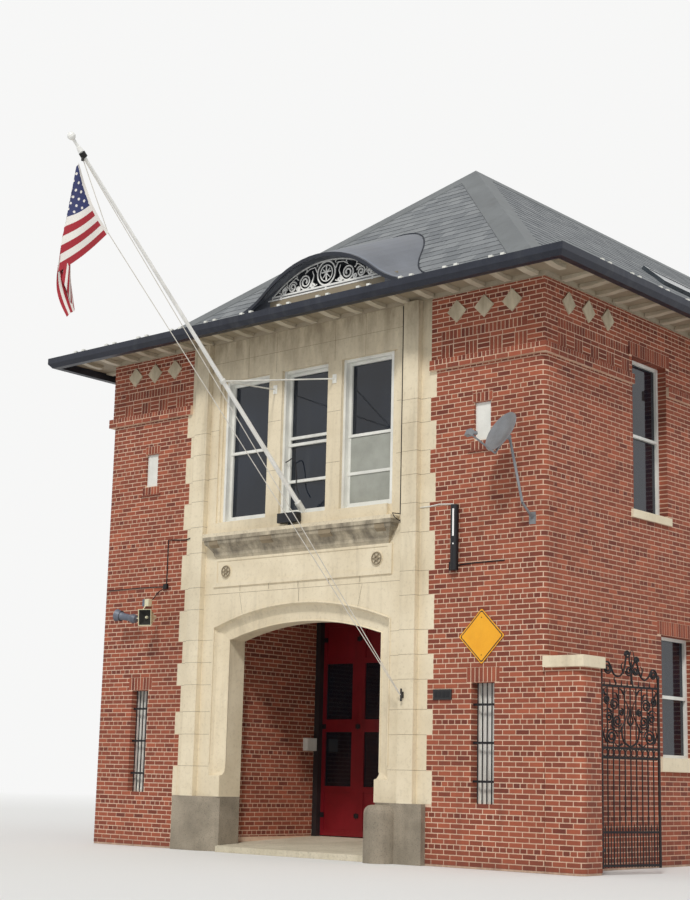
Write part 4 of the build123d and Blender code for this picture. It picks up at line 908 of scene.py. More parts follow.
@dataclass
class WallLine:
    """Line of a wall's face in plan; the outside is on its right-hand side."""

    corners: list[tuple[float, float]]
    mirror: bool = False
    lengths: list[float] = field(default_factory=list)

    def __post_init__(self) -> None:
        """Adds up the distances of the corners along the line."""
        self.lengths = [0.0]
        for (x0, y0), (x1, y1) in zip(self.corners, self.corners[1:]):
            self.lengths.append(self.lengths[-1] + math.hypot(x1 - x0, y1 - y0))

    def heading(self, i: int) -> Vector:
        """Direction of one stretch of the line.

        Args:
            i: Number of the stretch, held to those there are.

        Returns:
            Unit vector in plan.
        """
        i = min(max(i, 0), len(self.corners) - 2)
        (x0, y0), (x1, y1) = self.corners[i], self.corners[i + 1]
        return Vector((x1 - x0, y1 - y0)).normalized()

    def at(self, s: float, out: float) -> tuple[float, float]:
        """Plan point at distance s along the line and out from the face.

        Args:
            s: Distance along the line.
            out: Distance outwards.

        Returns:
            x and y.
        """
        for i, end in enumerate(self.lengths[1:]):
            if s < end + 1e-6 or i == len(self.corners) - 2:
                break
        start = Vector(self.corners[i])
        way = self.heading(i)
        normal = Vector((way.y, -way.x))
        after = self.heading(i + 1)
        if abs(s - self.lengths[i + 1]) < 1e-6 and i < len(self.corners) - 2:
            normal = (normal + Vector((after.y, -after.x))).normalized() / math.cos(way.angle(after) / 2)
        p = start + way * (s - self.lengths[i]) + normal * out
        return (-p.x if self.mirror else p.x), p.y

    def turns(self, a: float, b: float) -> list[float]:
        """Distances strictly between a and b at which the line turns."""
        return [s for s in self.lengths[1:-1] if a + 1e-5 < s < b - 1e-5]


@dataclass(frozen=True)
class Patch:
    """Upright rectangle on a wall line: distances along it, and heights."""

    start: float
    end: float
    low: float
    high: float


@dataclass
class BrickFace:
    """Bricks laid on one wall line, proud of the mortar behind them."""

    line: WallLine
    stack: Stack
    chance: random.Random
    openings: list[Patch] = field(default_factory=list)
    out: float = BRICK_PROUD
    back: float = -0.002
    least_strip: float = 0.015
    least_run: float = 0.02
    least_brick: float = 0.045
    least_course: float = 0.03
    header_rows: tuple[int, int] = (6, 3)
    header_shift: float = 0.054
    stretcher_shift: float = 0.108
    tones: tuple[float, float] = (0.32, 0.56)
    spread: float = 0.24

    def brick(self, a: float, b: float, low: float, high: float, tone: float) -> None:
        """One brick from a to b along the line, bent round the corners between.

        Args:
            a: Where it starts.
            b: Where it ends.
            low: Its bottom.
            high: Its top.
            tone: Its tone.
        """
        cuts = [a, *self.line.turns(a, b), b]
        points: list[Point] = []
        for s in cuts:
            for out in (self.out, self.back):
                x, y = self.line.at(s, out)
                points += [(x, y, low), (x, y, high)]
        faces: list[tuple[int, ...]] = [(2, 3, 1, 0)]
        for i in range(len(cuts) - 1):
            p, q = 4 * i, 4 * (i + 1)
            faces += [(p, q, q + 1, p + 1), (p + 1, q + 1, q + 3, p + 3), (p + 2, q + 2, q, p)]
        q = 4 * (len(cuts) - 1)
        faces.append((q, q + 2, q + 3, q + 1))
        if self.line.mirror:
            faces = [tuple(reversed(f)) for f in faces]
        self.stack.add(points, faces, tone)

    def clear(self, start: float, end: float, low: float, high: float) -> list[Patch]:
        """Parts of a row that no opening takes.

        Args:
            start: Where the row starts.
            end: Where it ends.
            low: Its bottom.
            high: Its top.

        Returns:
            Patches to fill with bricks.
        """
        found = [Patch(start, end, low, high)]
        for hole in self.openings:
            if hole.high <= low + 0.004 or hole.low >= high - 0.004:
                continue
            rest: list[Patch] = []
            for p in found:
                if hole.end <= p.start or hole.start >= p.end:
                    rest.append(p)
                    continue
                rest.append(Patch(p.start, hole.start, p.low, p.high))
                rest.append(Patch(hole.end, p.end, p.low, p.high))
                a, b = max(p.start, hole.start), min(p.end, hole.end)
                if p.high - hole.high > self.least_strip:
                    rest.append(Patch(a, b, hole.high, p.high))
                if hole.low - p.low > self.least_strip:
                    rest.append(Patch(a, b, p.low, hole.low))
            found = [p for p in rest if p.end - p.start > self.least_run]
        return found

    def marks(self, patch: Patch, unit: float, shift: float) -> list[tuple[float, float]]:
        """Starts and ends of the bricks of one row; a sliver at an end joins its neighbour.

        Args:
            patch: The free stretch of the row.
            unit: Brick and joint together.
            shift: Where the first joint lies.

        Returns:
            Pairs of distances along the line.
        """
        found = []
        for k in range(math.floor((patch.start - shift) / unit), math.ceil((patch.end - shift) / unit)):
            a = max(shift + k * unit + JOINT / 2, patch.start + 0.002)
            b = min(shift + (k + 1) * unit - JOINT / 2, patch.end - 0.002)
            if b - a > 0.004:
                found.append((a, b))
        for i, j in ((0, 1), (-1, -2)):
            if len(found) > 1 and found[i][1] - found[i][0] < self.least_brick:
                found[j] = (min(found[i][0], found[j][0]), max(found[i][1], found[j][1]))
                found.pop(i)
        return found

    def row(
        self, start: float, end: float, low: float, high: float, bond: Bond, shift: float = 0.0, tone: float = 0.5
    ) -> None:
        """One row of bricks between start and end.

        Args:
            start: Where the row starts.
            end: Where it ends.
            low: Its bottom, joint included.
            high: Its top, joint included.
            bond: How the bricks lie.
            shift: Where the first joint lies.
            tone: Mean tone of the row.
        """
        for p in self.clear(start, end, low + JOINT / 2, high - JOINT / 2):
            for a, b in self.marks(p, bond.value, shift):
                self.brick(a, b, p.low, p.high, min(1.0, max(0.0, self.chance.gauss(tone, self.spread))))

    def common(self, start: float, end: float, low: float, high: float, base: float = FIRST_COURSE) -> None:
        """Common bond: stretchers, with a row of headers every sixth course.

        Args:
            start: Where the field starts.
            end: Where it ends.
            low: Its bottom.
            high: Its top.
            base: Height at which course 0 starts.
        """
        for k in range(math.floor((low - base) / COURSE), math.ceil((high - base) / COURSE)):
            bottom, top = max(base + k * COURSE, low), min(base + (k + 1) * COURSE, high)
            if top - bottom < self.least_course:
                continue
            every, which = self.header_rows
            if k % every == which:
                self.row(start, end, bottom, top, Bond.HEADER, self.header_shift, self.tones[0])
            else:
                self.row(start, end, bottom, top, Bond.STRETCHER, self.stretcher_shift * (k % 2), self.tones[1])

    def reveal(self, hole: Patch, depth: float) -> None:
        """Bricks on both sides and over the head of an opening, back to its frame.

        Args:
            hole: The opening.
            depth: How far back they reach.
        """
        first = math.ceil((hole.low - FIRST_COURSE) / COURSE - 0.4)
        for k in range(first, math.floor((hole.high - FIRST_COURSE) / COURSE + 0.4)):
            low = max(FIRST_COURSE + k * COURSE + JOINT / 2, hole.low)
            high = min(FIRST_COURSE + (k + 1) * COURSE - JOINT / 2, hole.high)
            for s, way in ((hole.start, 1), (hole.end, -1)):
                if s < self.line.lengths[-1]:
                    self.block(s, s + way * self.out, depth, low, high)
        stop = min(hole.end, self.line.lengths[-1])
        count = round((stop - hole.start) / COURSE)
        step = (stop - hole.start) / count
        for k in range(count):
            a = hole.start + k * step + JOINT / 2
            self.block(a, a + step - JOINT, depth, hole.high - self.out, hole.high + 0.002)

    def block(self, a: float, b: float, depth: float, low: float, high: float) -> None:
        """Brick that reaches back from the face.

        Args:
            a: Where it starts along the line.
            b: Where it ends.
            depth: How far back it reaches.
            low: Its bottom.
            high: Its top.
        """
        outline = [self.line.at(s, out) for s, out in ((a, self.out), (a, -depth), (b, -depth), (b, self.out))]
        area = sum(p[0] * q[1] - q[0] * p[1] for p, q in zip(outline, outline[1:] + outline[:1]))
        if area < 0:
            outline.reverse()
        tone = min(1.0, max(0.0, self.chance.gauss(0.45, 0.2)))
        self.stack.prism([(x, y, low) for x, y in outline], (0, 0, high - low), tone)

    def soldiers(self, patch: Patch, tone: float = 0.42) -> None:
        """Upright bricks side by side over one patch, whatever openings meet it.

        Args:
            patch: Where they stand.
            tone: Their mean tone.
        """
        saved, self.openings = self.openings, []
        self.row(patch.start, patch.end, patch.low, patch.high, Bond.SOLDIER, patch.start, tone)
        self.openings = saved

    def weave(self, start: float, count: int, low: float) -> None:
        """Basket weave: squares of three bricks, upright and lying by turns.

        Args:
            start: Where the first square starts.
            count: How many squares.
            low: Bottom of the squares.
        """
        side = 3 * COURSE
        for n in range(count):
            a = start + n * (side + WEAVE_GAP)
            b = a + side
            for k in range(3):
                if n % 2:
                    self.row(a, b, low + k * COURSE, low + (k + 1) * COURSE, Bond.STRETCHER, a, 0.4)
                else:
                    self.row(a + k * COURSE, a + (k + 1) * COURSE, low, low + side, Bond.SOLDIER, a, 0.4)


@dataclass
class Brickwork:
    """All brick faces of the house, the porch and the gate pier."""

    inner: float = 2.4
    wide: float = 2.615
    narrow: float = 2.515
    base_edge: float = 2.507
    top_step: float = 7.12
    first_step: float = 6.658
    granite_top: float = 0.83
    steps: tuple[int, ...] = (5, 6, 5, 6, 6, 8, 5, 7, 5, 5, 6, 5, 7)
    slit: tuple[float, float, float, float] = (3.283, 3.677, 0.86, 2.5)
    panel: tuple[float, float, float, float] = (3.3, 3.594, 5.918, 6.477)
    side_windows: tuple[float, ...] = (2.85, 6.75, 10.65, 14.55)
    lower_windows: tuple[float, ...] = (6.75, 10.65, 14.55)
    rear_windows: tuple[float, ...] = (-2.7, 0.0, 2.7)
    window_half: float = 0.505
    sill: tuple[float, float] = (0.12, 0.07)
    frame_back: float = 0.138
    niche: float = 0.058
    upper: tuple[float, float] = (5.15, 7.5)
    lower: tuple[float, float] = (1.2, 3.0)
    three_courses: float = 0.212
    two_courses: float = 0.141
    head_lug: float = 0.11
    slit_lug: float = 0.08
    panel_lugs: tuple[float, float] = (0.03, 0.06)
    panel_sill: tuple[float, float, float, float] = (0.09, 0.028, 0.163, 0.143)
    least_reveal: float = 0.3
    small_height: float = 1.0
    front_return: float = 0.3
    weave_starts: tuple[float, float] = (2.7, 0.33)
    weave_counts: tuple[int, int] = (7, 9)
    porch_half: float = 1.75
    porch_depths: tuple[float, float] = (0.472, 2.398)
    porch_heights: tuple[float, float] = (0.2, 3.848)
    pier_size: tuple[float, float, float] = (0.58, 0.46, 2.679)
    pier_cap: float = 2.83

    def edge(self, z: float) -> float:
        """Toothed edge between stone and brick.

        Args:
            z: Height.

        Returns:
            x of the edge at that height.
        """
        if z > self.top_step:
            return self.narrow
        if z > self.first_step:
            return self.wide
        if z < self.granite_top:
            return self.base_edge
        height, edge = self.first_step, self.wide
        for count in self.steps:
            edge = self.narrow if edge == self.wide else self.wide
            height -= count * COURSE
            if z > height:
                return edge
        return self.narrow if edge == self.wide else self.wide

    def line(self, mirror: bool, rounded: bool) -> WallLine:
        """Line of half the house, from the arch's stone round the side to the middle of the rear.

        Args:
            mirror: Whether it is the left-hand half.
            rounded: Whether the corner is rounded.

        Returns:
            The line.
        """
        corner = self.corner(HOUSE_HALF) if rounded else [(HOUSE_HALF, 0.0)]
        return WallLine([(self.inner, 0.0), *corner, (HOUSE_HALF, HOUSE_DEPTH), (0.0, HOUSE_DEPTH)], mirror)

    def corner(self, outer: float) -> list[tuple[float, float]]:
        """Quarter circle of a rounded brick corner.

        Args:
            outer: x of the side that it turns into.

        Returns:
            Its points from the front round to the side.
        """
        r = CORNER_ROUND
        angles = [math.radians(15 * k) for k in range(7)]
        return [(outer - r + r * math.sin(a), r - r * math.cos(a)) for a in angles]

    def openings(self, line: WallLine) -> tuple[list[Patch], list[Patch], float]:
        """Openings and soldier patches of one half of the house.

        Args:
            line: Line of that half.

        Returns:
            Openings, patches of upright bricks, and the distance at which y is 0 on the side.
        """
        rear = line.lengths[-2]
        side = rear - HOUSE_DEPTH
        sign = -1 if line.mirror else 1
        holes: list[Patch] = []
        soldiers: list[Patch] = []
        a, b, z0, z1 = self.slit[0] - self.inner, self.slit[1] - self.inner, *self.slit[2:]
        holes.append(Patch(a, b, z0, z1))
        soldiers.append(Patch(a - self.slit_lug, b + self.slit_lug, z1, z1 + self.three_courses))
        a, b, z0, z1 = self.panel[0] - self.inner, self.panel[1] - self.inner, *self.panel[2:]
        holes.append(Patch(a, b, z0, z1))
        over, under = self.panel_lugs
        soldiers.append(Patch(a - over, b + over, z1, z1 + self.two_courses))
        soldiers.append(Patch(a - under, b + under, z0 - self.two_courses, z0))
        windows = [(side + y, *self.upper) for y in self.side_windows]
        windows += [(side + y, *self.lower) for y in self.lower_windows]
        rear_places = [rear + HOUSE_HALF - sign * x for x in self.rear_windows if sign * x >= 0]
        windows += [(s, *level) for s in rear_places for level in (self.upper, self.lower)]
        ground = GroundWindow()
        if not line.mirror:
            windows.append((side + (ground.start + ground.end) / 2, ground.low, ground.high))
        for s, low, high in windows:
            drop, lug = self.sill
            drop = ground.sill if low == ground.low else drop
            a, b = s - self.window_half, s + self.window_half
            holes.append(Patch(a, b, low, high))
            holes.append(Patch(a - lug, b + lug, low - drop, low))
            stop = min(b + self.head_lug, line.lengths[-1])
            soldiers.append(Patch(a - self.head_lug, stop, high, high + self.three_courses))
        if not line.mirror:
            holes.append(Patch(side + CORNER_ROUND - 0.002, side + self.pier_size[1], 0.0, self.pier_cap))
        return holes, soldiers, side

    def house(self, mirror: bool) -> None:
        """Common bond below the band, on one half of the house.

        Args:
            mirror: Whether it is the left-hand half.
        """
        name = "left" if mirror else "right"
        line = self.line(mirror, True)
        holes, soldiers, side = self.openings(line)
        end = line.lengths[-1]
        chance = random.Random(HOUSE_SEED + mirror)
        stacks = {"front": Stack(f"bricks_front_{name}"), "side": Stack(f"bricks_{name}")}
        split = side + self.front_return
        for part, stack in stacks.items():
            front = part == "front"
            face = BrickFace(line, stack, chance, holes + soldiers)
            for k in range(math.ceil((BAND_LOW - FIRST_COURSE) / COURSE)):
                low = FIRST_COURSE + k * COURSE
                start = self.edge(low + COURSE / 2) - self.inner if front else split
                face.common(start, split if front else end, low, min(low + COURSE, BAND_LOW))
            for patch in soldiers:
                if (patch.start < split) == front and patch.high < BAND_LOW:
                    face.soldiers(patch)
            for hole in holes:
                tall = hole.high - hole.low
                if (hole.start < split) == front and tall >= self.least_reveal and hole.low > 0.0:
                    face.reveal(hole, self.niche if tall < self.small_height else self.frame_back)
        for stack in stacks.values():
            stack.build(BRICK, "brick")

    def frieze(self, mirror: bool) -> None:
        """Projecting band, basket weave and the field round the diamonds, on one half of the house.

        Args:
            mirror: Whether it is the left-hand half.
        """
        name = "left" if mirror else "right"
        line = self.line(mirror, False)
        holes, soldiers, side = self.openings(line)
        end = line.lengths[-1]
        chance = random.Random(FRIEZE_SEED + mirror)
        stack = Stack(f"bricks_frieze_{name}")
        start = self.narrow - self.inner
        band = BrickFace(line, stack, chance, holes, BAND_OUT + BRICK_PROUD, 0.0)
        middle = BAND_LOW + COURSE
        band.row(start, end, BAND_LOW - 0.004, middle, Bond.STRETCHER, 0.0, 0.5)
        band.row(start, end, middle, BAND_HIGH + 0.004, Bond.SOLDIER, 0.0, 0.4)
        starts = (self.weave_starts[0] - self.inner, side + self.weave_starts[1])
        panels = list(zip(starts, self.weave_counts))
        width = 3 * COURSE + WEAVE_GAP
        woven = [Patch(s, s + n * width, BAND_HIGH, BAND_HIGH + 6 * COURSE) for s, n in panels]
        face = BrickFace(line, stack, chance, holes + soldiers + woven)
        for s, n in panels:
            BrickFace(line, stack, chance, holes).weave(s, n, BAND_HIGH)
            bare = BrickFace(line, stack, chance, holes)
            level = BAND_HIGH + 3 * COURSE
            bare.row(s, s + n * width, level, level + COURSE, Bond.STRETCHER, s, 0.45)
            bare.row(s, s + n * width, level + COURSE, level + 3 * COURSE, Bond.SOLDIER, s, 0.4)
        face.common(start, end, BAND_HIGH, WALL_TOP, BAND_HIGH - 4 * COURSE)
        for patch in soldiers:
            if patch.high > BAND_HIGH:
                face.soldiers(patch)
        stack.build(BRICK, "brick")

    def porch(self) -> None:
        """Brick faces inside the porch."""
        for mirror, name in ((False, "right"), (True, "left")):
            line = WallLine([(-self.porch_half, y) for y in self.porch_depths], not mirror)
            stack = Stack(f"bricks_porch_{name}")
            face = BrickFace(line, stack, random.Random(PORCH_SEED + mirror))
            face.common(0, line.lengths[-1], *self.porch_heights)
            stack.build(BRICK, "brick")

    def pier(self) -> None:
        """Brick faces of the gate pier, rounded at its free front corner."""
        width, depth, height = self.pier_size
        outer = HOUSE_HALF + width
        start, end = (HOUSE_HALF + 0.001, 0.0), (HOUSE_HALF + 0.01, depth)
        line = WallLine([start, *self.corner(outer), (outer, depth), end])
        stack = Stack("bricks_gate_pier")
        BrickFace(line, stack, random.Random(PIER_SEED)).common(0, line.lengths[-1], 0.0, height)
        stack.build(BRICK, "brick")

    def trims(self) -> None:
        """Thin projecting sills under the small square panels."""
        stack = Stack("small_panel_sills")
        x0, x1, z0, _ = self.panel
        lug, out, foot, top = self.panel_sill
        for sign in (-1, 1):
            low, high = sorted((sign * (x0 - lug), sign * (x1 + lug)))
            stack.box((low, -out, z0 - foot), (high, 0.0, z0 - top), 0.2)
        stack.build(BRICK, "brick")

    def between(self, start: float, end: float, windows: Sequence[float]) -> list[tuple[float, float]]:
        """Stretches from start to end that the windows leave."""
        edges = [start, *(place + way * self.window_half for place in windows for way in (-1, 1)), end]
        return list(zip(edges[::2], edges[1::2]))

    def band(self) -> None:
        """Mortar core of the projecting band, left open at every window that it meets."""
        stack = Stack("band_core")
        half, end = HOUSE_HALF + BAND_OUT, HOUSE_DEPTH + BAND_OUT
        for sign in (-1, 1):
            a, b = sorted((sign * self.narrow, sign * half))
            stack.box((a, -BAND_OUT, BAND_LOW), (b, 0.0, BAND_HIGH))
            a, b = sorted((sign * HOUSE_HALF, sign * half))
            for y0, y1 in self.between(0.0, HOUSE_DEPTH, self.side_windows):
                stack.box((a, y0, BAND_LOW), (b, y1, BAND_HIGH))
        for x0, x1 in self.between(-half, half, self.rear_windows):
            stack.box((x0, HOUSE_DEPTH, BAND_LOW), (x1, end, BAND_HIGH))
        piece = stack.build(MORTAR, "brick")
        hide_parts("brick_band")

    def build(self) -> None:
        """Lays every face."""
        for mirror in (False, True):
            self.house(mirror)
            self.frieze(mirror)
        self.band()
        self.porch()
        self.pier()
        self.trims()


@dataclass
class GroundWindow:
    """First ground-floor window of the right-hand wall, and the wall with its opening."""

    start: float = 3.09
    end: float = 4.10
    low: float = 1.56
    high: float = 3.36
    sill: float = 0.2
    sill_out: float = 0.04
    lug: float = 0.07
    frame_face: float = 4.36
    frame_back: float = 4.315
    frame: float = 0.05
    wall: tuple[float, float, float, float] = (4.1, HOUSE_HALF, 0.47, 17.0)

    def cut_wall(self) -> None:
        """Right-hand wall with all its openings, this one among them."""
        bricks = Brickwork()
        half = bricks.window_half
        holes = [(y - half, y + half, *bricks.upper) for y in bricks.side_windows]
        holes += [(y - half, y + half, *bricks.lower) for y in bricks.lower_windows]
        holes.append((self.start, self.end, self.low, self.high))
        x0, x1, front, rear = self.wall
        cuts = sorted({front, rear, *(h[0] for h in holes), *(h[1] for h in holes)})
        stack = Stack("right_wall_core")
        for a, b in zip(cuts, cuts[1:]):
            found = sorted(h[2:] for h in holes if h[0] < (a + b) / 2 < h[1])
            levels = [0.0, *(z for h in found for z in h), WALL_TOP]
            for z0, z1 in zip(levels[::2], levels[1::2]):
                stack.box((x0, a, z0), (x1, b, z1))
        piece = stack.build(MORTAR, "brick")
        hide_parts("right_wall")

    def build(self) -> None:
        """Makes the wall, the sill, the sash frame and the panes."""
        self.cut_wall()
        sill = Stack("ground_window_sill")
        sill.box((self.frame_face, self.start, self.low - self.sill), (HOUSE_HALF, self.end, self.low))
        out = HOUSE_HALF + self.sill_out
        sill.box((HOUSE_HALF, self.start - self.lug, self.low - self.sill), (out, self.end + self.lug, self.low))
        sill.build(LIMESTONE, "limestone")
        frame = Stack("ground_window_frame")
        x0, x1, f = self.frame_back, self.frame_face, self.frame
        frame.box((x0, self.start, self.low), (x1, self.start + f, self.high))
        frame.box((x0, self.end - f, self.low), (x1, self.end, self.high))
        middle = (self.low + self.high) / 2
        for z0, z1 in ((self.low, self.low + f), (middle - f / 2, middle + f / 2), (self.high - f, self.high)):
            frame.box((x0, self.start + f, z0), (x1, self.end - f, z1))
        frame.build(WHITE_PAINT, "white_paint")
        panes = Stack("ground_window_panes")
        panes.box((x0 - 0.006, self.start + f / 2, self.low + f / 2), (x0, self.end - f / 2, self.high - f / 2))
        panes.build(WINDOW_GLASS, "window_glass")


# Stonework


@dataclass
class Stonework:
    """Joints between the blocks of the stone frontispiece, and the fine rolls along the arch."""

    width: float = 0.005
    proud: float = 0.0012
    pilaster: tuple[float, float] = (2.06, 2.34)
    pilaster_face: float = -0.1
    arch_half: float = 1.565
    spring: float = 3.27
    crown: float = 3.51
    cove_wide: float = 0.245
    cove_spring: float = 0.19
    cove_crown: float = 0.27
    head_bed: float = 4.0
    panel_foot: tuple[float, float] = (4.02, 4.11)
    uprights: tuple[float, ...] = (0.0, 0.62, 1.24)
    arch_angles: tuple[int, ...] = (0, 13, 26, 33)
    lintel_top: float = 7.5
    frieze_bed: float = 7.83
    jamb_beds: tuple[float, float] = (5.9, 6.7)
    mullion: tuple[float, float] = (0.487, 0.767)
    jamb: float = 1.87
    rosette: Point = (1.56, -0.038, 4.35)
    lowest_bed: float = 0.9
    quoin: tuple[float, float, float, float] = (2.513, 2.615, 0.832, 1.286)
    overlap: float = 0.001

    def level(self, stack: Stack, x0: float, x1: float, y: float, z: float) -> None:
        """Bed joint on an upright face, on both sides of the middle.

        Args:
            stack: Where it goes.
            x0: Its start.
            x1: Its end.
            y: The face.
            z: Its height.
        """
        for sign in (-1, 1):
            a, b = sorted((sign * x0, sign * x1))
            stack.box((a, y - self.proud, z - self.width / 2), (b, y + self.overlap, z + self.width / 2))

    def upright(self, stack: Stack, x: float, y: float, z0: float, z1: float) -> None:
        """Upright joint on both sides of the middle.

        Args:
            stack: Where it goes.
            x: Its distance from the middle.
            y: The face.
            z0: Its foot.
            z1: Its head.
        """
        for sign in (-1, 1):
            a = sign * x
            stack.box((a - self.width / 2, y - self.proud, z0), (a + self.width / 2, y + self.overlap, z1))

    def arc(self, share: float) -> tuple[float, float]:
        """Centre height and radius of the arch's line.

        Args:
            share: 0 at the inner edge and 1 at the outer edge of the hollow moulding.

        Returns:
            Height of the centre, and radius.
        """
        half = self.arch_half + self.cove_wide * share
        low = self.spring + self.cove_spring * share
        rise = self.crown + self.cove_crown * share - low
        radius = (half * half + rise * rise) / (2 * rise)
        return low + rise - radius, radius

    def joints(self) -> None:
        """All joints of the frontispiece in one piece."""
        stack = Stack("stone_joints")
        bricks = Brickwork()
        z = bricks.first_step
        for count in (0, *bricks.steps):
            z -= count * COURSE
            if z > self.lowest_bed:
                self.level(stack, self.pilaster[1], bricks.narrow - 0.002, 0.0, z)
                self.level(stack, *self.pilaster, self.pilaster_face, z)
                side = self.pilaster[0]
                for sign in (-1, 1):
                    for edge in self.pilaster:
                        a = sign * edge
                        a, b = sorted((a, a + (-1 if edge == side else 1) * sign * self.proud))
                        stack.box((a, self.pilaster_face, z - self.width / 2), (b, 0.0, z + self.width / 2))
                if z < self.spring:
                    self.level(stack, self.arch_half + self.cove_wide, side, 0.0, z)
        self.level(stack, 0.0, self.pilaster[0], 0.0, self.head_bed)
        for x in self.uprights:
            self.upright(stack, x, -0.025, *self.panel_foot)
        low, radius = self.arc(1.0)
        for angle in self.arch_angles:
            for sign in (-1, 1):
                a = math.radians(angle) * sign
                start = Vector((math.sin(a) * (radius + 0.015), 0, low + math.cos(a) * (radius + 0.015)))
                way = Vector((math.sin(a), 0, math.cos(a)))
                reach = (self.head_bed - 0.01 - start.z) / way.z
                across = Vector((way.z, 0, -way.x)) * self.width / 2
                end = start + way * reach
                if abs(end.x) > self.pilaster[0] - 0.01:
                    continue
                outline = [start - across, start + across, end + across, end - across]
                back = Vector((0, self.overlap, 0))
                stack.prism([p + back for p in outline], (0, -self.proud - self.overlap, 0))
        for x in self.uprights[1:]:
            self.upright(stack, x, 0.0, self.lintel_top, WALL_TOP)
        self.level(stack, 0.0, self.pilaster[0], 0.0, self.frieze_bed)
        for z in self.jamb_beds:
            self.level(stack, *self.mullion, 0.0, z)
            self.level(stack, self.jamb, self.pilaster[0], 0.0, z)
        stack.build(STONE_JOINT, "limestone")

    def rolls(self) -> None:
        """Fine round edges that follow the arch at the front and the back of its hollow moulding."""
        stack = Stack("arch_rolls")
        for share, y, radius in ((1.0, -0.004, 0.014), (0.0, 0.118, 0.012)):
            low, r = self.arc(share)
            half = self.arch_half + self.cove_wide * share
            limit = math.asin(half / r)
            foot = 1.25 + 0.1 * share
            path = [(-half, y, foot)]
            angles = [limit * k / 20 for k in range(-20, 21)]
            path += [(r * math.sin(a), y, low + r * math.cos(a)) for a in angles]
            path.append((half, y, foot))
            stack.tube(path, radius, 8)
        stack.build(LIMESTONE, "limestone", smooth=True)

    def ornaments(self) -> None:
        """Blocks under the cornice's shelf, and rings and bosses on the panel's rosettes, all in the darker joint
        stone as painted shade.
        """
        # The blocks take the darker joint stone: painted shade under the cornice's shelf.
        stack = Stack("cornice_blocks_shaded")
        for x, half in ((-0.57, 0.12), (0.65, 0.12), (-1.72, 0.09), (1.72, 0.09)):
            profile = [(-0.07, 4.7), (-0.15, 4.745), (-0.185, 4.77), (-0.185, 4.842), (-0.07, 4.842)]
            stack.prism([(x - half, y, z) for y, z in reversed(profile)], (2 * half, 0, 0))
        stack.build(STONE_JOINT, "limestone")
        # The rings and petals take the darker joint stone: painted shade in the carving.
        rosettes = Stack("rosette_rings_shaded")
        x, y, z = self.rosette
        for sign in (-1, 1):
            for radius, thick in ((0.088, 0.009), (0.03, 0.012)):
                rosettes.tube([(u, y, v) for u, v in ring(sign * x, z, radius, radius, 16)], thick, 8)
            for k in range(6):
                a = math.radians(60 * k)
                petal = [(sign * x + d * math.cos(a), y, z + d * math.sin(a)) for d in (0.035, 0.078)]
                rosettes.tube(petal, 0.012, 6, end_radius=0.005)
        rosettes.build(STONE_JOINT, "limestone", smooth=True)

    def lowest_quoins(self) -> None:
        """Wide blocks between the granite base and the lowest narrow quoin."""
        stack = Stack("lowest_quoins")
        x0, x1, z0, z1 = self.quoin
        for sign in (-1, 1):
            a, b = sorted((sign * x0, sign * x1))
            stack.box((a, -BRICK_PROUD, z0), (b, self.overlap, z1))
        stack.build(LIMESTONE, "limestone")

    def build(self) -> None:
        """Makes the joints, the rolls and the ornaments."""
        self.lowest_quoins()
        self.joints()
        self.rolls()
        self.ornaments()


# Windows, doors and what hangs on the walls


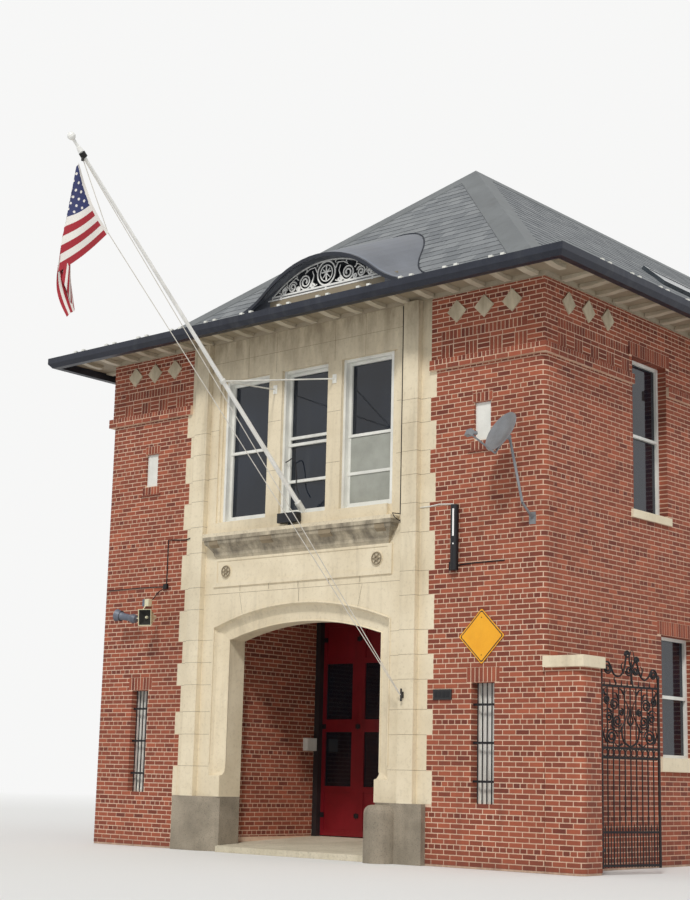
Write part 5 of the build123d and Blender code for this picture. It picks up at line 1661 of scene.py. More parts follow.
@dataclass
class Openings:
    """Bars of the slit windows, trims of the front windows, and the hardware of the folding doors."""

    slit: tuple[float, float, float, float] = Brickwork.slit
    bar: float = 0.009
    door_face: float = 2.5
    leaf_edges: tuple[float, ...] = (-1.73, -0.865, 0.0, 0.865, 1.73)
    hinges: tuple[float, ...] = (0.55, 2.0, 3.45)
    handles: tuple[float, float] = (0.06, 0.925)
    front: tuple[tuple[float, float], ...] = ((-1.76, -0.767), (-0.487, 0.487), (0.767, 1.76))
    levels: tuple[float, float] = Brickwork.upper
    casing: float = 0.045
    sash: float = 0.038
    sash_depths: tuple[float, float] = (0.15, 0.184)

    def bars(self) -> None:
        """White boards in both slit windows, and the black iron bars in front of them."""
        boards = Stack("slit_window_boards")
        stack = Stack("slit_window_bars")
        x0, x1, z0, z1 = self.slit
        for sign in (-1, 1):
            a, b = sorted((sign * (x0 + 0.04), sign * (x1 - 0.04)))
            boards.box((a, 0.165, z0 + 0.04), (b, 0.178, z1 - 0.04), 0.6)
            for k in range(1, 5):
                x = sign * (x0 + (x1 - x0) * k / 5)
                stack.tube([(x, 0.05, z0), (x, 0.05, z1)], self.bar, 8)
            for z in (z0 + 0.3, (z0 + z1) / 2, z1 - 0.3):
                a, b = sorted((sign * x0, sign * x1))
                stack.box((a, 0.044, z - 0.016), (b, 0.056, z + 0.016))
        boards.build(WHITE_PAINT, "white_paint")
        stack.build(BLACK_IRON, "black_iron")

    def sashes(self) -> None:
        """Casings round the three front windows, the sashes in them, and the middle window's lowered top sash."""
        stack = Stack("front_sashes")
        low, high = self.levels
        y0, y1 = self.sash_depths
        for x0, x1 in self.front:
            for a, b in ((x0, x0 + self.casing), (x1 - self.casing, x1)):
                stack.box((a, 0.055, low), (b, 0.14, high), 0.6)
            a, b = x0 + self.casing, x1 - self.casing
            stack.box((a, 0.07, high - self.casing), (b, 0.14, high), 0.6)
            stack.box((a, 0.098, low), (b, 0.14, low + 0.04), 0.6)
            for a, b in ((x0 + 0.05, x0 + 0.05 + self.sash), (x1 - 0.05 - self.sash, x1 - 0.05)):
                stack.box((a, y0, low + 0.05), (b, y1, high - 0.05), 0.4)
            a, b = x0 + 0.05 + self.sash, x1 - 0.05 - self.sash
            stack.box((a, y0, low + 0.05), (b, y1, low + 0.105), 0.4)
            stack.box((a, y0, high - 0.085), (b, y1, high - 0.05), 0.4)
        stack.box((-0.4, 0.145, 6.385), (0.4, 0.182, 6.43), 0.5)
        stack.build(WHITE_PAINT, "white_paint")
        blind = Stack("window_blind")
        blind.box((0.855, 0.155, 5.25), (1.672, 0.16, 6.27))
        blind.build(BLIND, "white_paint")

    def hardware(self) -> None:
        """Strap hinges, handles and bolts on the folding doors."""
        stack = Stack("door_hardware")
        face = self.door_face
        for edge, way in ((self.leaf_edges[0], 1), (self.leaf_edges[-1], -1)):
            for z in self.hinges:
                a, b = sorted((edge + way * 0.01, edge + way * 0.16))
                stack.box((a, face - 0.006, z - 0.04), (b, face, z + 0.04))
        for edge in self.leaf_edges[1:4]:
            for z in self.hinges:
                stack.box((edge - 0.05, face - 0.006, z - 0.035), (edge + 0.05, face, z + 0.035))
                stack.tube([(edge, face - 0.008, z - 0.05), (edge, face - 0.008, z + 0.05)], 0.007)
        for x in self.handles:
            bow = ((face, 1.96), (face - 0.05, 1.98), (face - 0.05, 2.08), (face, 2.1))
            stack.tube([(x, y, z) for y, z in bow], 0.008)
        stack.build(BLACK_IRON, "black_iron")

    def build(self) -> None:
        """Makes the bars, the sashes and the hardware."""
        self.bars()
        self.sashes()
        self.hardware()


@dataclass
class WallFittings:
    """Blank sign and number plate, call box, cables, lamps, horns, gutter clips and what is on the pole."""

    sign_centre: tuple[float, float] = (3.463, 3.134)
    sign_side: float = 0.545
    cable: float = 1.975
    cable_foot: float = 2.03
    cable_out: float = -0.008
    lamp: tuple[float, float] = (3.022, -0.105)
    square_horn: Point = (-3.04, -0.23, 3.665)
    round_horn: Point = (-3.48, -0.23, 3.665)
    gutter: tuple[float, float, float] = (0.815, 8.262, 8.296)
    clip_pitch: float = 0.8
    clip_gap: float = 0.2

    def diamond(self, half: float, y: float, thick: float, stack: Stack) -> None:
        """Plate standing on its corner, with rounded tips.

        Args:
            half: From its centre to a tip.
            y: Its front.
            thick: Its thickness.
            stack: Where it goes.
        """
        x, z = self.sign_centre
        n = 5
        round_off = half * 0.1
        points = []
        for k in range(4):
            a = math.radians(90 * k)
            tip = Vector((math.sin(a), 0, -math.cos(a)))
            side = Vector((math.cos(a), 0, math.sin(a)))
            for i in range(n):
                t = -1 + 2 * i / (n - 1)
                reach = half - round_off * t * t * 0.8 - round_off * 0.2
                points.append(Vector((x, y + thick, z)) + tip * reach + side * round_off * t)
        stack.prism(points, (0, -thick, 0))

    def sign(self) -> None:
        """Yellow diamond with a black line round a bare field, and its two bolts."""
        plate, line, face = Stack("warning_sign"), Stack("warning_sign_border"), Stack("warning_sign_field")
        half = self.sign_side / math.sqrt(2)
        self.diamond(half, -0.018, 0.003, plate)
        self.diamond(half - 0.022, -0.0195, 0.0015, line)
        self.diamond(half - 0.042, -0.021, 0.0015, face)
        plate.build(SIGN_YELLOW, "light_metal")
        line.build(SIGN_BLACK, "light_metal")
        face.build(SIGN_YELLOW, "light_metal")
        bolts = Stack("warning_sign_bolts")
        x, z = self.sign_centre
        for dz in (-0.26, 0.26):
            bolts.tube([(x, 0.0, z + dz), (x, -0.024, z + dz)], 0.008, 6)
        bolts.build(LIGHT_METAL, "light_metal")

    def plate(self) -> None:
        """Dark number plate with four blank tiles in a narrow rim."""
        stack, tiles = Stack("number_plate"), Stack("number_plate_tiles")
        stack.box((2.63, -0.02, 2.27), (2.95, 0.0, 2.416))
        for k in range(4):
            x = 2.656 + k * 0.07
            tiles.box((x, -0.023, 2.3), (x + 0.052, -0.019, 2.386))
        stack.build(SIGN_BLACK, "light_metal")
        tiles.build(LIGHT_METAL, "light_metal")

    def call_box(self) -> None:
        """White box on the left-hand porch wall, with its lid."""
        stack = Stack("call_box")
        stack.box((-1.75, 2.13, 1.59), (-1.66, 2.38, 1.8))
        stack.box((-1.66, 2.142, 1.602), (-1.652, 2.368, 1.788))
        stack.build(WHITE_PAINT, "white_paint")

    def cables(self) -> None:
        """Cables beside the pilaster and to the horns and lights, and the conduit that leads to the tube light."""
        stack = Stack("wall_cables")
        x, foot, y = self.cable, self.cable_foot, self.cable_out
        stack.tube([(x, y, 8.15), (x, y, 4.98)], 0.007)
        stack.tube([(foot, y, 4.84), (foot, y, 0.84)], 0.007)
        stack.tube([(x, y, 4.98), (1.99, y - 0.2, 4.965), (foot, y - 0.2, 4.9), (foot, y, 4.84)], 0.007)
        left, right, y = -2.95, 2.965, -0.012
        sag = ((-2.07, 5.0), (-2.3, 4.985), (-2.54, 4.935), (-2.8, 4.955), (left, 4.965), (left, 4.19))
        stack.tube([(x, y, z) for x, z in sag], 0.009)
        stack.tube([(left, y, 4.19), (-3.6, y, 4.2), (-4.39, y, 4.195)], 0.008)
        stack.tube([(left - 0.02, y, 4.18), (-3.1, -0.05, 4.1), (-3.2, -0.08, 3.98)], 0.008)
        stack.box((left - 0.04, -0.05, 4.15), (left + 0.04, 0.0, 4.23))
        stack.tube([(right, y, 4.15), (3.3, y, 4.165), (3.84, y, 4.17)], 0.009)
        stack.box((right - 0.05, -0.06, 4.08), (right + 0.035, 0.0, 4.2))
        stack.build(BLACK_IRON, "black_iron", smooth=True)
        pipe = Stack("light_conduit")
        y, z = self.cable_out, 5.04
        bent = [(2.7, -0.012, z + 0.015), (2.95, -0.012, z - 0.004), (3.01, -0.03, z - 0.03)]
        pipe.tube([(2.35, y, z), (2.515, y, z), *bent], 0.009)
        pipe.build(WHITE_PAINT, "white_paint", smooth=True)

    def lamps(self) -> None:
        """Lit tube on the upright lamp, its end knob, and dark linings and discs in both horns' mouths, painted as
        the shade in their hollows.
        """
        tube = Stack("lit_tube")
        x, y = self.lamp
        tube.tube([(x, y, 4.56), (x, y, 4.95)], 0.017, 10)
        tube.tube([(x, -0.1, z) for z in (4.44, 4.47, 4.5)], 0.02, 10, end_radius=0.012)
        tube.build(LIT_TUBE, "light_metal", smooth=True)
        # Dark linings and discs in the horns' mouths: painted shade of their hollows.
        shaded_throats = Stack("horn_throats_shade")
        away = Vector((0.35, -1.0, -0.1)).normalized()
        across = away.cross(Vector((0, 0, 1))).normalized()
        up = across.cross(away)
        start = Vector(self.square_horn)
        rows = []
        for reach, wide, tall in ((0.16, 0.062, 0.07), (0.232, 0.104, 0.12)):
            corners = [(-wide, -tall), (wide, -tall), (wide, tall), (-wide, tall), (-wide, -tall)]
            rows.append([start + away * reach + across * a + up * b for a, b in corners])
        shaded_throats.sheet(rows)
        shaded_throats.add(rows[0][:4], [(3, 2, 1, 0)])
        round_way = Vector((-1, -0.2, 0.2)).normalized()
        mouth = Vector(self.round_horn) + round_way * 0.255
        side = round_way.orthogonal().normalized()
        top = round_way.cross(side)
        turns = [2 * math.pi * k / 20 for k in range(20)]
        disc = [mouth + (side * math.cos(a) + top * math.sin(a)) * 0.088 for a in turns]
        shaded_throats.add(disc, [tuple(range(20))])
        shaded_throats.build(HORN_HOLLOW_SHADE, "horn_metal")
        knobs = Stack("horn_bullets")
        knobs.tube([start + away * 0.15, start + away * 0.19, start + away * 0.2], 0.03, 10, end_radius=0.012)
        knobs.tube([mouth - round_way * 0.01, mouth + round_way * 0.006], 0.03, 10, end_radius=0.015)
        knobs.build(HORN_METAL, "horn_metal", smooth=True)

    def gutter_clips(self) -> None:
        """Pairs of clips on the gutter's lip, along the front and both sides."""
        stack = Stack("gutter_clips")
        out, low, high = self.gutter
        for k in range(12):
            for gap in (0.0, self.clip_gap):
                x = -4.64 + self.clip_pitch * k + gap
                stack.box((x - 0.03, -out - 0.025, low), (x + 0.03, -out + 0.025, high), 0.6)
        for k in range(21):
            for gap in (0.0, self.clip_gap):
                y = 0.2 + self.clip_pitch * k + gap
                for sign in (-1, 1):
                    a, b = sorted((sign * (HOUSE_HALF + out - 0.02), sign * (HOUSE_HALF + out + 0.022)))
                    stack.box((a, y - 0.03, low), (b, y + 0.03, high), 0.6)
        stack.build(WHITE_PAINT, "gutter_metal")

    def pole_foot_cable(self) -> None:
        """Black cable that hangs in a loop beside the foot of the pole."""
        stack = Stack("pole_cable")
        knots = (
            (-0.825, 0.1, 5.74), (-0.76, 0.09, 5.9), (-0.639, 0.09, 6.0), (-0.423, 0.09, 6.03), (-0.27, 0.08, 6.06),
            (-0.2, 0.08, 5.85), (-0.18, 0.07, 5.62), (-0.1, 0.05, 5.46),
        )
        stack.tube(smooth(knots, 6), 0.009, 8)
        stack.build(BLACK_IRON, "black_iron", smooth=True)

    def pulley(self) -> None:
        """Collar and knob at the pole's tip, where the rope turns."""
        foot, tip = Vector((0, 0.03, 5.217)), Vector((0, -4.88, 9.717))
        way = (tip - foot).normalized()
        head = foot + way * ((-4.692 - 0.03) / way.y)
        collar = Stack("pole_collar")
        collar.tube([head - way * 0.04, head + way * 0.04], 0.047, 16)
        collar.tube([head - Vector((0, 0, 0.03)), head - Vector((0, 0, 0.085))], 0.024, 10)
        collar.build(BLACK_IRON, "black_iron", smooth=True)
        knob = Stack("pole_knob")
        knob.tube([head + way * 0.06, head + way * 0.09, head + way * 0.13], 0.043, 14, end_radius=0.03)
        knob.build(POLE_WHITE_AND_HIGHLIGHT, "pole_paint", smooth=True)

    def build(self) -> None:
        """Makes everything on the walls."""
        self.gutter_clips()
        self.pole_foot_cable()
        self.pulley()
        self.lamps()
        self.sign()
        self.plate()
        self.call_box()
        self.cables()


# Roof


Skip = Callable[[float, float], bool]


@dataclass
class Roof:
    """Slates in courses on the four slopes."""

    foot: float = 8.26
    rise: float = 3.88
    exposure: float = 0.21
    width: float = 0.27
    light: tuple[float, float, float, float] = (1.46, 1.92, 7.9, 10.9)
    cap: float = 0.3

    def slope(self, name: str, origin: Vector, along: Vector, half: float, skip: Skip | None = None) -> None:
        """Slates of one slope.

        Args:
            name: Name of the slope.
            origin: Middle of the slope's foot.
            along: Level direction along the foot, with the outside on its right-hand side.
            half: Half the length of the foot.
            skip: Says whether the slate at a distance along and up the slope is left out, if any is.
        """
        tilt = math.atan2(self.rise, HOUSE_HALF)
        out = Vector((along.y, -along.x, 0))
        up = -out * math.cos(tilt) + Vector((0, 0, math.sin(tilt)))
        normal = out * math.sin(tilt) + Vector((0, 0, math.cos(tilt)))
        length = math.hypot(self.rise, HOUSE_HALF)
        chance = random.Random(len(name) * 7)
        stack = Stack(f"slates_{name}")
        rows = int(length / self.exposure)
        for k in range(rows):
            v0, v1 = k * self.exposure, (k + 1) * self.exposure
            in0, in1 = v0 * math.cos(tilt), v1 * math.cos(tilt)
            left0, left1 = -half + in0 + self.cap * 0.9, -half + in1 + self.cap * 0.9
            right0, right1 = -left0, -left1
            if right1 - left1 < 0.05:
                break
            shift = (k % 2) * self.width / 2 + chance.uniform(-0.02, 0.02)
            count = math.ceil(2 * half / self.width) + 2
            for j in range(count):
                a = -half - self.width + shift + j * self.width
                b = a + self.width - 0.005
                if b <= left0 or a >= right0 or (skip and skip((a + b) / 2, (v0 + v1) / 2)):
                    continue
                corners = [(max(a, left0), v0), (min(b, right0), v0), (min(b, right1), v1), (max(a, left1), v1)]
                if corners[2][0] - corners[3][0] < 0.02 or corners[1][0] - corners[0][0] < 0.02:
                    continue
                thick = 0.009 + chance.uniform(0, 0.003)
                lift = (thick, thick, 0.003, 0.003)
                base = [origin + along * u + up * v for u, v in corners]
                top = [p + normal * h for p, h in zip(base, lift)]
                stack.add(base + top, [(4, 5, 6, 7), (0, 1, 5, 4), (1, 2, 6, 5), (3, 0, 4, 7)], chance.random())
        stack.build(SLATE, "slate")

    def build(self) -> None:
        """Lays the slates of all four slopes."""
        z = self.foot
        middle = HOUSE_DEPTH / 2
        tilt = math.atan2(self.rise, HOUSE_HALF)
        eyebrow = Eyebrow()
        x0, x1, y0, y1 = self.light

        def under_eyebrow(u: float, v: float) -> bool:
            """Whether the eyebrow hides this place on the front slope."""
            y = v * math.cos(tilt)
            return eyebrow.grille_y + 0.1 < y + 0.08 < eyebrow.front + eyebrow.reach(u)

        def at_light(u: float, v: float) -> bool:
            """Whether the roof light covers this place on the right-hand slope."""
            x, y = HOUSE_HALF - v * math.cos(tilt), u + middle
            return x0 - 0.03 < x < x1 + 0.03 and y0 < y < y1

        self.slope("front", Vector((0, 0, z)), Vector((1, 0, 0)), HOUSE_HALF, under_eyebrow)
        self.slope("right", Vector((HOUSE_HALF, middle, z)), Vector((0, 1, 0)), middle, at_light)
        self.slope("rear", Vector((0, HOUSE_DEPTH, z)), Vector((-1, 0, 0)), HOUSE_HALF)
        self.slope("left", Vector((-HOUSE_HALF, middle, z)), Vector((0, -1, 0)), middle)


@dataclass
class Eyebrow:
    """Seam, board and scrolled grille of the eyebrow dormer."""

    front: float = 0.3
    half: float = 2.2
    crown: float = 9.459
    height: float = 0.8
    crown_radius: float = 1.75
    climb: float = 0.415
    grille_y: float = 0.44
    grille_half: float = 1.2
    low: float = 8.93
    top: float = 9.38
    rod: float = 0.0125
    feet: tuple[float, ...] = (-0.98, 0.0, 0.98)
    buds: tuple[float, ...] = (0.16, 0.34, 0.52, 0.7)

    def bell(self, t: float, drop: float) -> tuple[float, float]:
        """Point of the eyebrow's front line.

        Args:
            t: From -1 at the left-hand foot to 1 at the right-hand one.
            drop: How far the line is lowered.

        Returns:
            x and z.
        """
        turn = 2 * math.atan2(self.height, self.half)
        foot_radius = self.half / math.sin(turn) - self.crown_radius
        change = self.crown_radius / (self.crown_radius + foot_radius)
        top = self.crown - drop
        side = -1 if t < 0 else 1
        t = abs(t)
        if t < change:
            a = turn * t / change
            return side * self.crown_radius * math.sin(a), top - self.crown_radius * (1 - math.cos(a))
        a = turn * (1 - t) / (1 - change)
        return side * (self.half - foot_radius * math.sin(a)), top - self.height + foot_radius * (1 - math.cos(a))

    def arch(self, t: float, inset: float = 0.0) -> tuple[float, float]:
        """Point of the grille's arched line.

        Args:
            t: From -1 at the left-hand end to 1 at the right-hand one.
            inset: How far inside the line.

        Returns:
            x and z.
        """
        rise = self.top - self.low
        radius = (self.grille_half**2 + rise**2) / (2 * rise)
        limit = math.asin(self.grille_half / radius)
        a = limit * t
        r = radius - inset
        return r * math.sin(a), self.top - radius + r * math.cos(a)

    def reach(self, x: float) -> float:
        """How far back the eyebrow's surface stays above the main slope.

        Args:
            x: Place across.

        Returns:
            Distance behind the eyebrow's front.
        """
        if abs(x) >= self.half:
            return 0.0
        line = [self.bell(t / 60, 0.0) for t in range(-60, 61)]
        x0, z0, x1, z1 = next((*p, *q) for p, q in zip(line, line[1:]) if q[0] >= x)
        z = z0 + (z1 - z0) * (x - x0) / (x1 - x0)
        foot, slope = Roof().foot, Roof().rise / HOUSE_HALF
        return (z - foot - self.front * slope) / (slope - self.climb)

    def seam(self) -> None:
        """Dark upstand where the eyebrow's sheet meets the slates."""
        stack = Stack("eyebrow_seam")
        path = []
        for i in range(-48, 49):
            x, z = self.bell(i / 48, 0.0)
            back = self.reach(x)
            path.append((x, self.front + back, z + self.climb * back + 0.008))
        stack.tube(path, 0.014, 6)
        stack.build(SEAM_METAL, "eyebrow_metal", smooth=True)

    def board(self) -> None:
        """Board under the grille, and the pale strip along its top."""
        board = Stack("eyebrow_board")
        y, half = self.grille_y, self.grille_half + 0.28
        board.box((-half, y - 0.004, 8.6), (half, y + 0.02, self.low - 0.02))
        board.build(EAVES_PAINT, "eyebrow_metal")
        strip = Stack("eyebrow_strip")
        strip.box((-half + 0.1, y - 0.01, self.low - 0.05), (half - 0.1, y - 0.003, self.low - 0.025))
        strip.build(GRILLE_PAINT, "grille_paint")

    def grille(self) -> None:
        """Arched frame, double-ringed medallion and mirrored scrolls on a bottom bar with three short feet."""
        stack = Stack("eyebrow_scrolls")
        y = self.grille_y + 0.002
        press = (Vector((0, 1, 0)), 0.7)
        arc = [self.arch(i / 30, 0.012) for i in range(-30, 31)]
        stack.tube([(x, y, z) for x, z in arc], 0.014, 8, flat=press)
        half = self.grille_half - 0.02
        stack.box((-half, y - 0.014, self.low - 0.004), (half, y + 0.012, self.low + 0.026))
        for x in self.feet:
            stack.box((x - 0.016, y - 0.014, self.low - 0.06), (x + 0.016, y + 0.008, self.low))
        middle = (self.low + 0.02 + self.top - 0.02) / 2
        for radius, thick in ((0.188, 0.011), (0.128, 0.008)):
            oval = ring(0.0, middle, radius, radius * 1.05, 24)
            stack.tube([(x, y, z) for x, z in oval], thick * 1.3, 8, flat=press)
        stack.tube([(0, y, middle - 0.12), (0, y, middle + 0.12)], 0.014, 8, flat=press)
        stack.tube([(-0.1, y, middle + 0.02), (0.1, y, middle + 0.02)], 0.012, 8, flat=press)
        for k in range(4):
            a = math.radians(45 + 90 * k)
            tip = (0.11 * math.cos(a), y, middle + 0.11 * math.sin(a))
            stack.tube([(0, y, middle), tip], 0.018, 6, end_radius=0.005, flat=press)
        floor = self.low + 0.022
        scrolls = (
            (0.455, 0.138, 2.1, 200, 1), (0.735, 0.096, 1.8, 160, -1), (0.295, 0.052, 1.5, 90, -1),
            (0.615, 0.045, 1.4, 250, -1), (0.915, 0.058, 1.6, 180, -1),
        )
        stems = (
            ((0.2, middle + 0.05), (0.25, middle + 0.14), (0.36, middle + 0.13), (0.46, floor + 0.276)),
            ((0.6, floor + 0.19), (0.66, floor + 0.24), (0.74, floor + 0.2)),
            ((0.31, floor + 0.1), (0.27, floor + 0.2), (0.3, floor + 0.29)),
            ((0.83, floor + 0.09), (0.87, floor + 0.14), (0.93, floor + 0.11)),
            ((0.97, floor + 0.02), (1.04, floor + 0.05), (1.0, floor + 0.08)),
            ((0.2, floor + 0.05), (0.24, floor + 0.03), (0.25, floor + 0.07)),
        )
        for side in (-1, 1):
            for x, radius, turns, start, way in scrolls:
                line = Spiral(x, floor + radius, radius, turns, start, way).line(20, 0.8)
                path = [(side * u, self.grille_y + 0.004, z) for u, z in line]
                stack.tube(path, self.rod, 8, end_radius=self.rod * 1.3, flat=press)
            for stem in stems:
                stack.tube([(side * x, y, z) for x, z in stem], 0.013, 8, end_radius=0.007, flat=press)
            for t in self.buds:
                x, z = self.arch(t, 0.03)
                bud = ((x, z + 0.01), (x - 0.02, z - 0.03), (x + 0.02, z - 0.045))
                stack.tube([(side * u, y, v) for u, v in bud], 0.014, 6, end_radius=0.004, flat=press)
        piece = stack.build(GRILLE_PAINT, "grille_paint", smooth=True)
        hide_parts("eyebrow_grille")

    def build(self) -> None:
        """Makes the board, the seam and the grille."""
        self.board()
        self.seam()
        self.grille()


# Gate


@dataclass
class Gate:
    """Iron gate leaf in its own plane: frame, rods, leafy ornament and crest."""

    hinge: tuple[float, float] = (5.05, 0.52)
    turn: float = 76.2
    far: float = 1.08
    foot: float = 0.08
    hinge_top: float = 2.72
    far_top: float = 2.6
    rods: int = 9
    rails: tuple[tuple[float, float], ...] = ((0.1, 0.13), (0.53, 0.56), (1.5, 1.53), (1.63, 1.66), (2.45, 2.48))
    scroll_iron: float = 0.0105
    scroll_end: float = 0.015
    leaf_tip: float = 0.004

    def place(self, u: float, z: float, out: float = 0.0) -> Point:
        """Point of the leaf's plane.

        Args:
            u: Distance from the hinge.
            z: Height.
            out: Distance out of the plane, towards the camera.

        Returns:
            The point.
        """
        a = math.radians(self.turn)
        x, y = self.hinge
        return (x + u * math.cos(a) + out * math.sin(a), y + u * math.sin(a) - out * math.cos(a), z)

    def curl(self, stack: Stack, spiral: Spiral) -> None:
        """One scroll of round iron in the leaf's plane, with a knob at its inner end."""
        line = [self.place(u, z, 0.004) for u, z in spiral.line(18, 0.75)]
        stack.tube(line, self.scroll_iron, 8, end_radius=self.scroll_end)

    def bend(self, knots: Sequence[tuple[float, float]]) -> list[Point]:
        """Smooth line through a few points of the leaf's plane."""
        return [self.place(u, z) for u, z in smooth(knots, 8)]

    def rod(
        self, stack: Stack, u: float, heights: Sequence[float], size: tuple[float, int], end: float = 0.0
    ) -> None:
        """Upright bar of the leaf.

        Args:
            stack: Where it goes.
            u: Distance from the hinge.
            heights: Heights that it passes, from its start.
            size: Its radius and the sides of its section.
            end: Its radius at the last height, where it tapers.
        """
        stack.tube([self.place(u, z) for z in heights], *size, end_radius=end or None)

    def bar(self, stack: Stack, low: float, high: float, half: float = 0.008) -> None:
        """Flat rail across the whole leaf between two heights."""
        corners = ((0.0, half), (self.far, half), (self.far, -half), (0.0, -half))
        stack.prism([self.place(u, low, out) for u, out in corners], (0, 0, high - low))

    def frame(self, stack: Stack) -> None:
        """Stiles, rails, rods, the row of rings and the spear-tipped short bars at the foot.

        Args:
            stack: Where they go.
        """
        for u, top in ((0.0, self.hinge_top), (self.far, self.far_top)):
            self.rod(stack, u, (self.foot, top), (0.02, 12))
            self.rod(stack, u, (top, top + 0.025, top + 0.045), (0.028, 10), 0.012)
        for low, high in self.rails:
            self.bar(stack, low, high)
        foot, (head, z) = self.foot + 0.01, self.rails[-1]
        pitch = self.far / (self.rods + 1)
        for k in range(1, self.rods + 1):
            self.rod(stack, pitch * k, (foot, head + 0.01), (0.0095, 8))
        low, high = self.rails[2][1], self.rails[3][0]
        radius = (high - low) / 2 + 0.002
        for k in range(self.rods + 1):
            u = pitch * (k + 0.5)
            self.rod(stack, u, (foot, 0.55, 0.6), (0.007, 6))
            self.rod(stack, u, (0.57, 0.6, 0.66), (0.015, 6), 0.003)
            oval = ring(u, (low + high) / 2, radius * 0.85, radius, 8)
            stack.tube([self.place(a, b, 0.006) for a, b in oval], 0.007, 6)
            self.rod(stack, u, (z - 0.02, z + 0.03, z + 0.07), (0.013, 6), 0.003)

    def leaf(self, stack: Stack, points: Sequence[tuple[float, float]], thick: float) -> None:
        """Leaf-like rod, thickest at its root, on both sides of the gate's middle.

        Args:
            stack: Where it goes.
            points: Its knots: distances from the middle, and heights.
            thick: Its radius at the root.
        """
        middle = self.far / 2
        for side in (-1, 1):
            line = [(middle + side * u, z) for u, z in points]
            stack.tube(self.bend(line), thick, 6, end_radius=self.leaf_tip)

    def ornament(self, stack: Stack) -> None:
        """Lyre in the middle, with scrolls and leaves mirrored on both sides of it, in front of the rods.

        Args:
            stack: Where it goes.
        """
        lyre = [(0.0, 1.66), (0.13, 1.74), (0.16, 1.9), (0.07, 2.06), (0.05, 2.2), (0.12, 2.33), (0.06, 2.43)]
        self.leaf(stack, lyre, 0.015)
        self.leaf(stack, [(0.0, 1.95), (0.05, 2.0), (0.02, 2.1), (0.03, 2.2)], 0.018)
        for u, z, radius, turns, start, way in (
            (0.36, 1.79, 0.11, 1.9, 180, -1), (0.25, 2.0, 0.085, 1.7, 200, 1), (0.4, 2.05, 0.075, 1.6, 270, -1),
            (0.3, 2.22, 0.085, 1.7, 160, -1), (0.44, 2.28, 0.06, 1.5, 240, 1), (0.17, 2.12, 0.05, 1.4, 90, 1),
        ):
            for side in (-1, 1):
                angle = start if side > 0 else 180 - start
                self.curl(stack, Spiral(self.far / 2 + side * u, z, radius, turns, angle, side * way))
        for points in (
            [(0.16, 1.7), (0.24, 1.67), (0.31, 1.72)], [(0.45, 1.72), (0.5, 1.82), (0.47, 1.92)],
            [(0.3, 1.9), (0.35, 1.94), (0.33, 2.02)], [(0.16, 1.92), (0.2, 1.86), (0.27, 1.88)],
            [(0.35, 2.12), (0.42, 2.16), (0.5, 2.12)], [(0.22, 2.3), (0.27, 2.37), (0.35, 2.36)],
            [(0.12, 2.36), (0.17, 2.42), (0.24, 2.43)], [(0.46, 2.34), (0.5, 2.4), (0.45, 2.44)],
        ):
            self.leaf(stack, points, 0.017)

    def crest(self, stack: Stack) -> None:
        """Low volutes at both stiles, two valleys and the tall ornament between them.

        Args:
            stack: Where they go.
        """
        near = ((0.02, 2.68), (0.05, 2.76), (0.13, 2.78), (0.19, 2.7), (0.24, 2.62), (0.34, 2.6), (0.42, 2.68))
        far = ((1.08, 2.6), (1.03, 2.7), (0.96, 2.71), (0.9, 2.62), (0.82, 2.57), (0.74, 2.62))
        for sweep in ((*near, (0.46, 2.82), (0.48, 2.94)), (*far, (0.69, 2.74), (0.66, 2.86))):
            stack.tube(self.bend(sweep), 0.013, 8)
        for scroll in (
            (0.115, 2.69, 0.075, 1.8, 60, -1), (0.985, 2.645, 0.06, 1.7, 120, 1), (0.49, 2.9, 0.055, 1.6, 200, -1),
            (0.66, 2.83, 0.05, 1.6, 340, 1), (0.52, 2.68, 0.07, 1.7, 180, 1), (0.64, 2.68, 0.055, 1.6, 0, -1),
        ):
            self.curl(stack, Spiral(*scroll))
        for points, thick in (
            ([(0.57, 2.5), (0.57, 2.7), (0.58, 2.88)], 0.02), ([(0.57, 2.72), (0.53, 2.84), (0.575, 2.97)], 0.018),
            ([(0.58, 2.72), (0.63, 2.82), (0.6, 2.96)], 0.018), ([(0.42, 2.64), (0.38, 2.74), (0.42, 2.8)], 0.014),
            ([(0.75, 2.6), (0.78, 2.7), (0.74, 2.75)], 0.013), ([(0.28, 2.5), (0.24, 2.56), (0.28, 2.61)], 0.013),
        ):
            stack.tube(self.bend(points), thick, 6, end_radius=self.leaf_tip)

    def build(self) -> None:
        """Makes the whole leaf as one piece on the gate's body."""
        stack = Stack("gate_scrolls")
        self.frame(stack)
        self.ornament(stack)
        self.crest(stack)
        piece = stack.build(BLACK_IRON, "black_iron", Body.GATE, smooth=True)
        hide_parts("gate_leaf")


# Flag


# Each knot: share of the way from the hoist's head to its foot, distance along the rope's plane, height
Knots = tuple[tuple[float, float, float], ...]


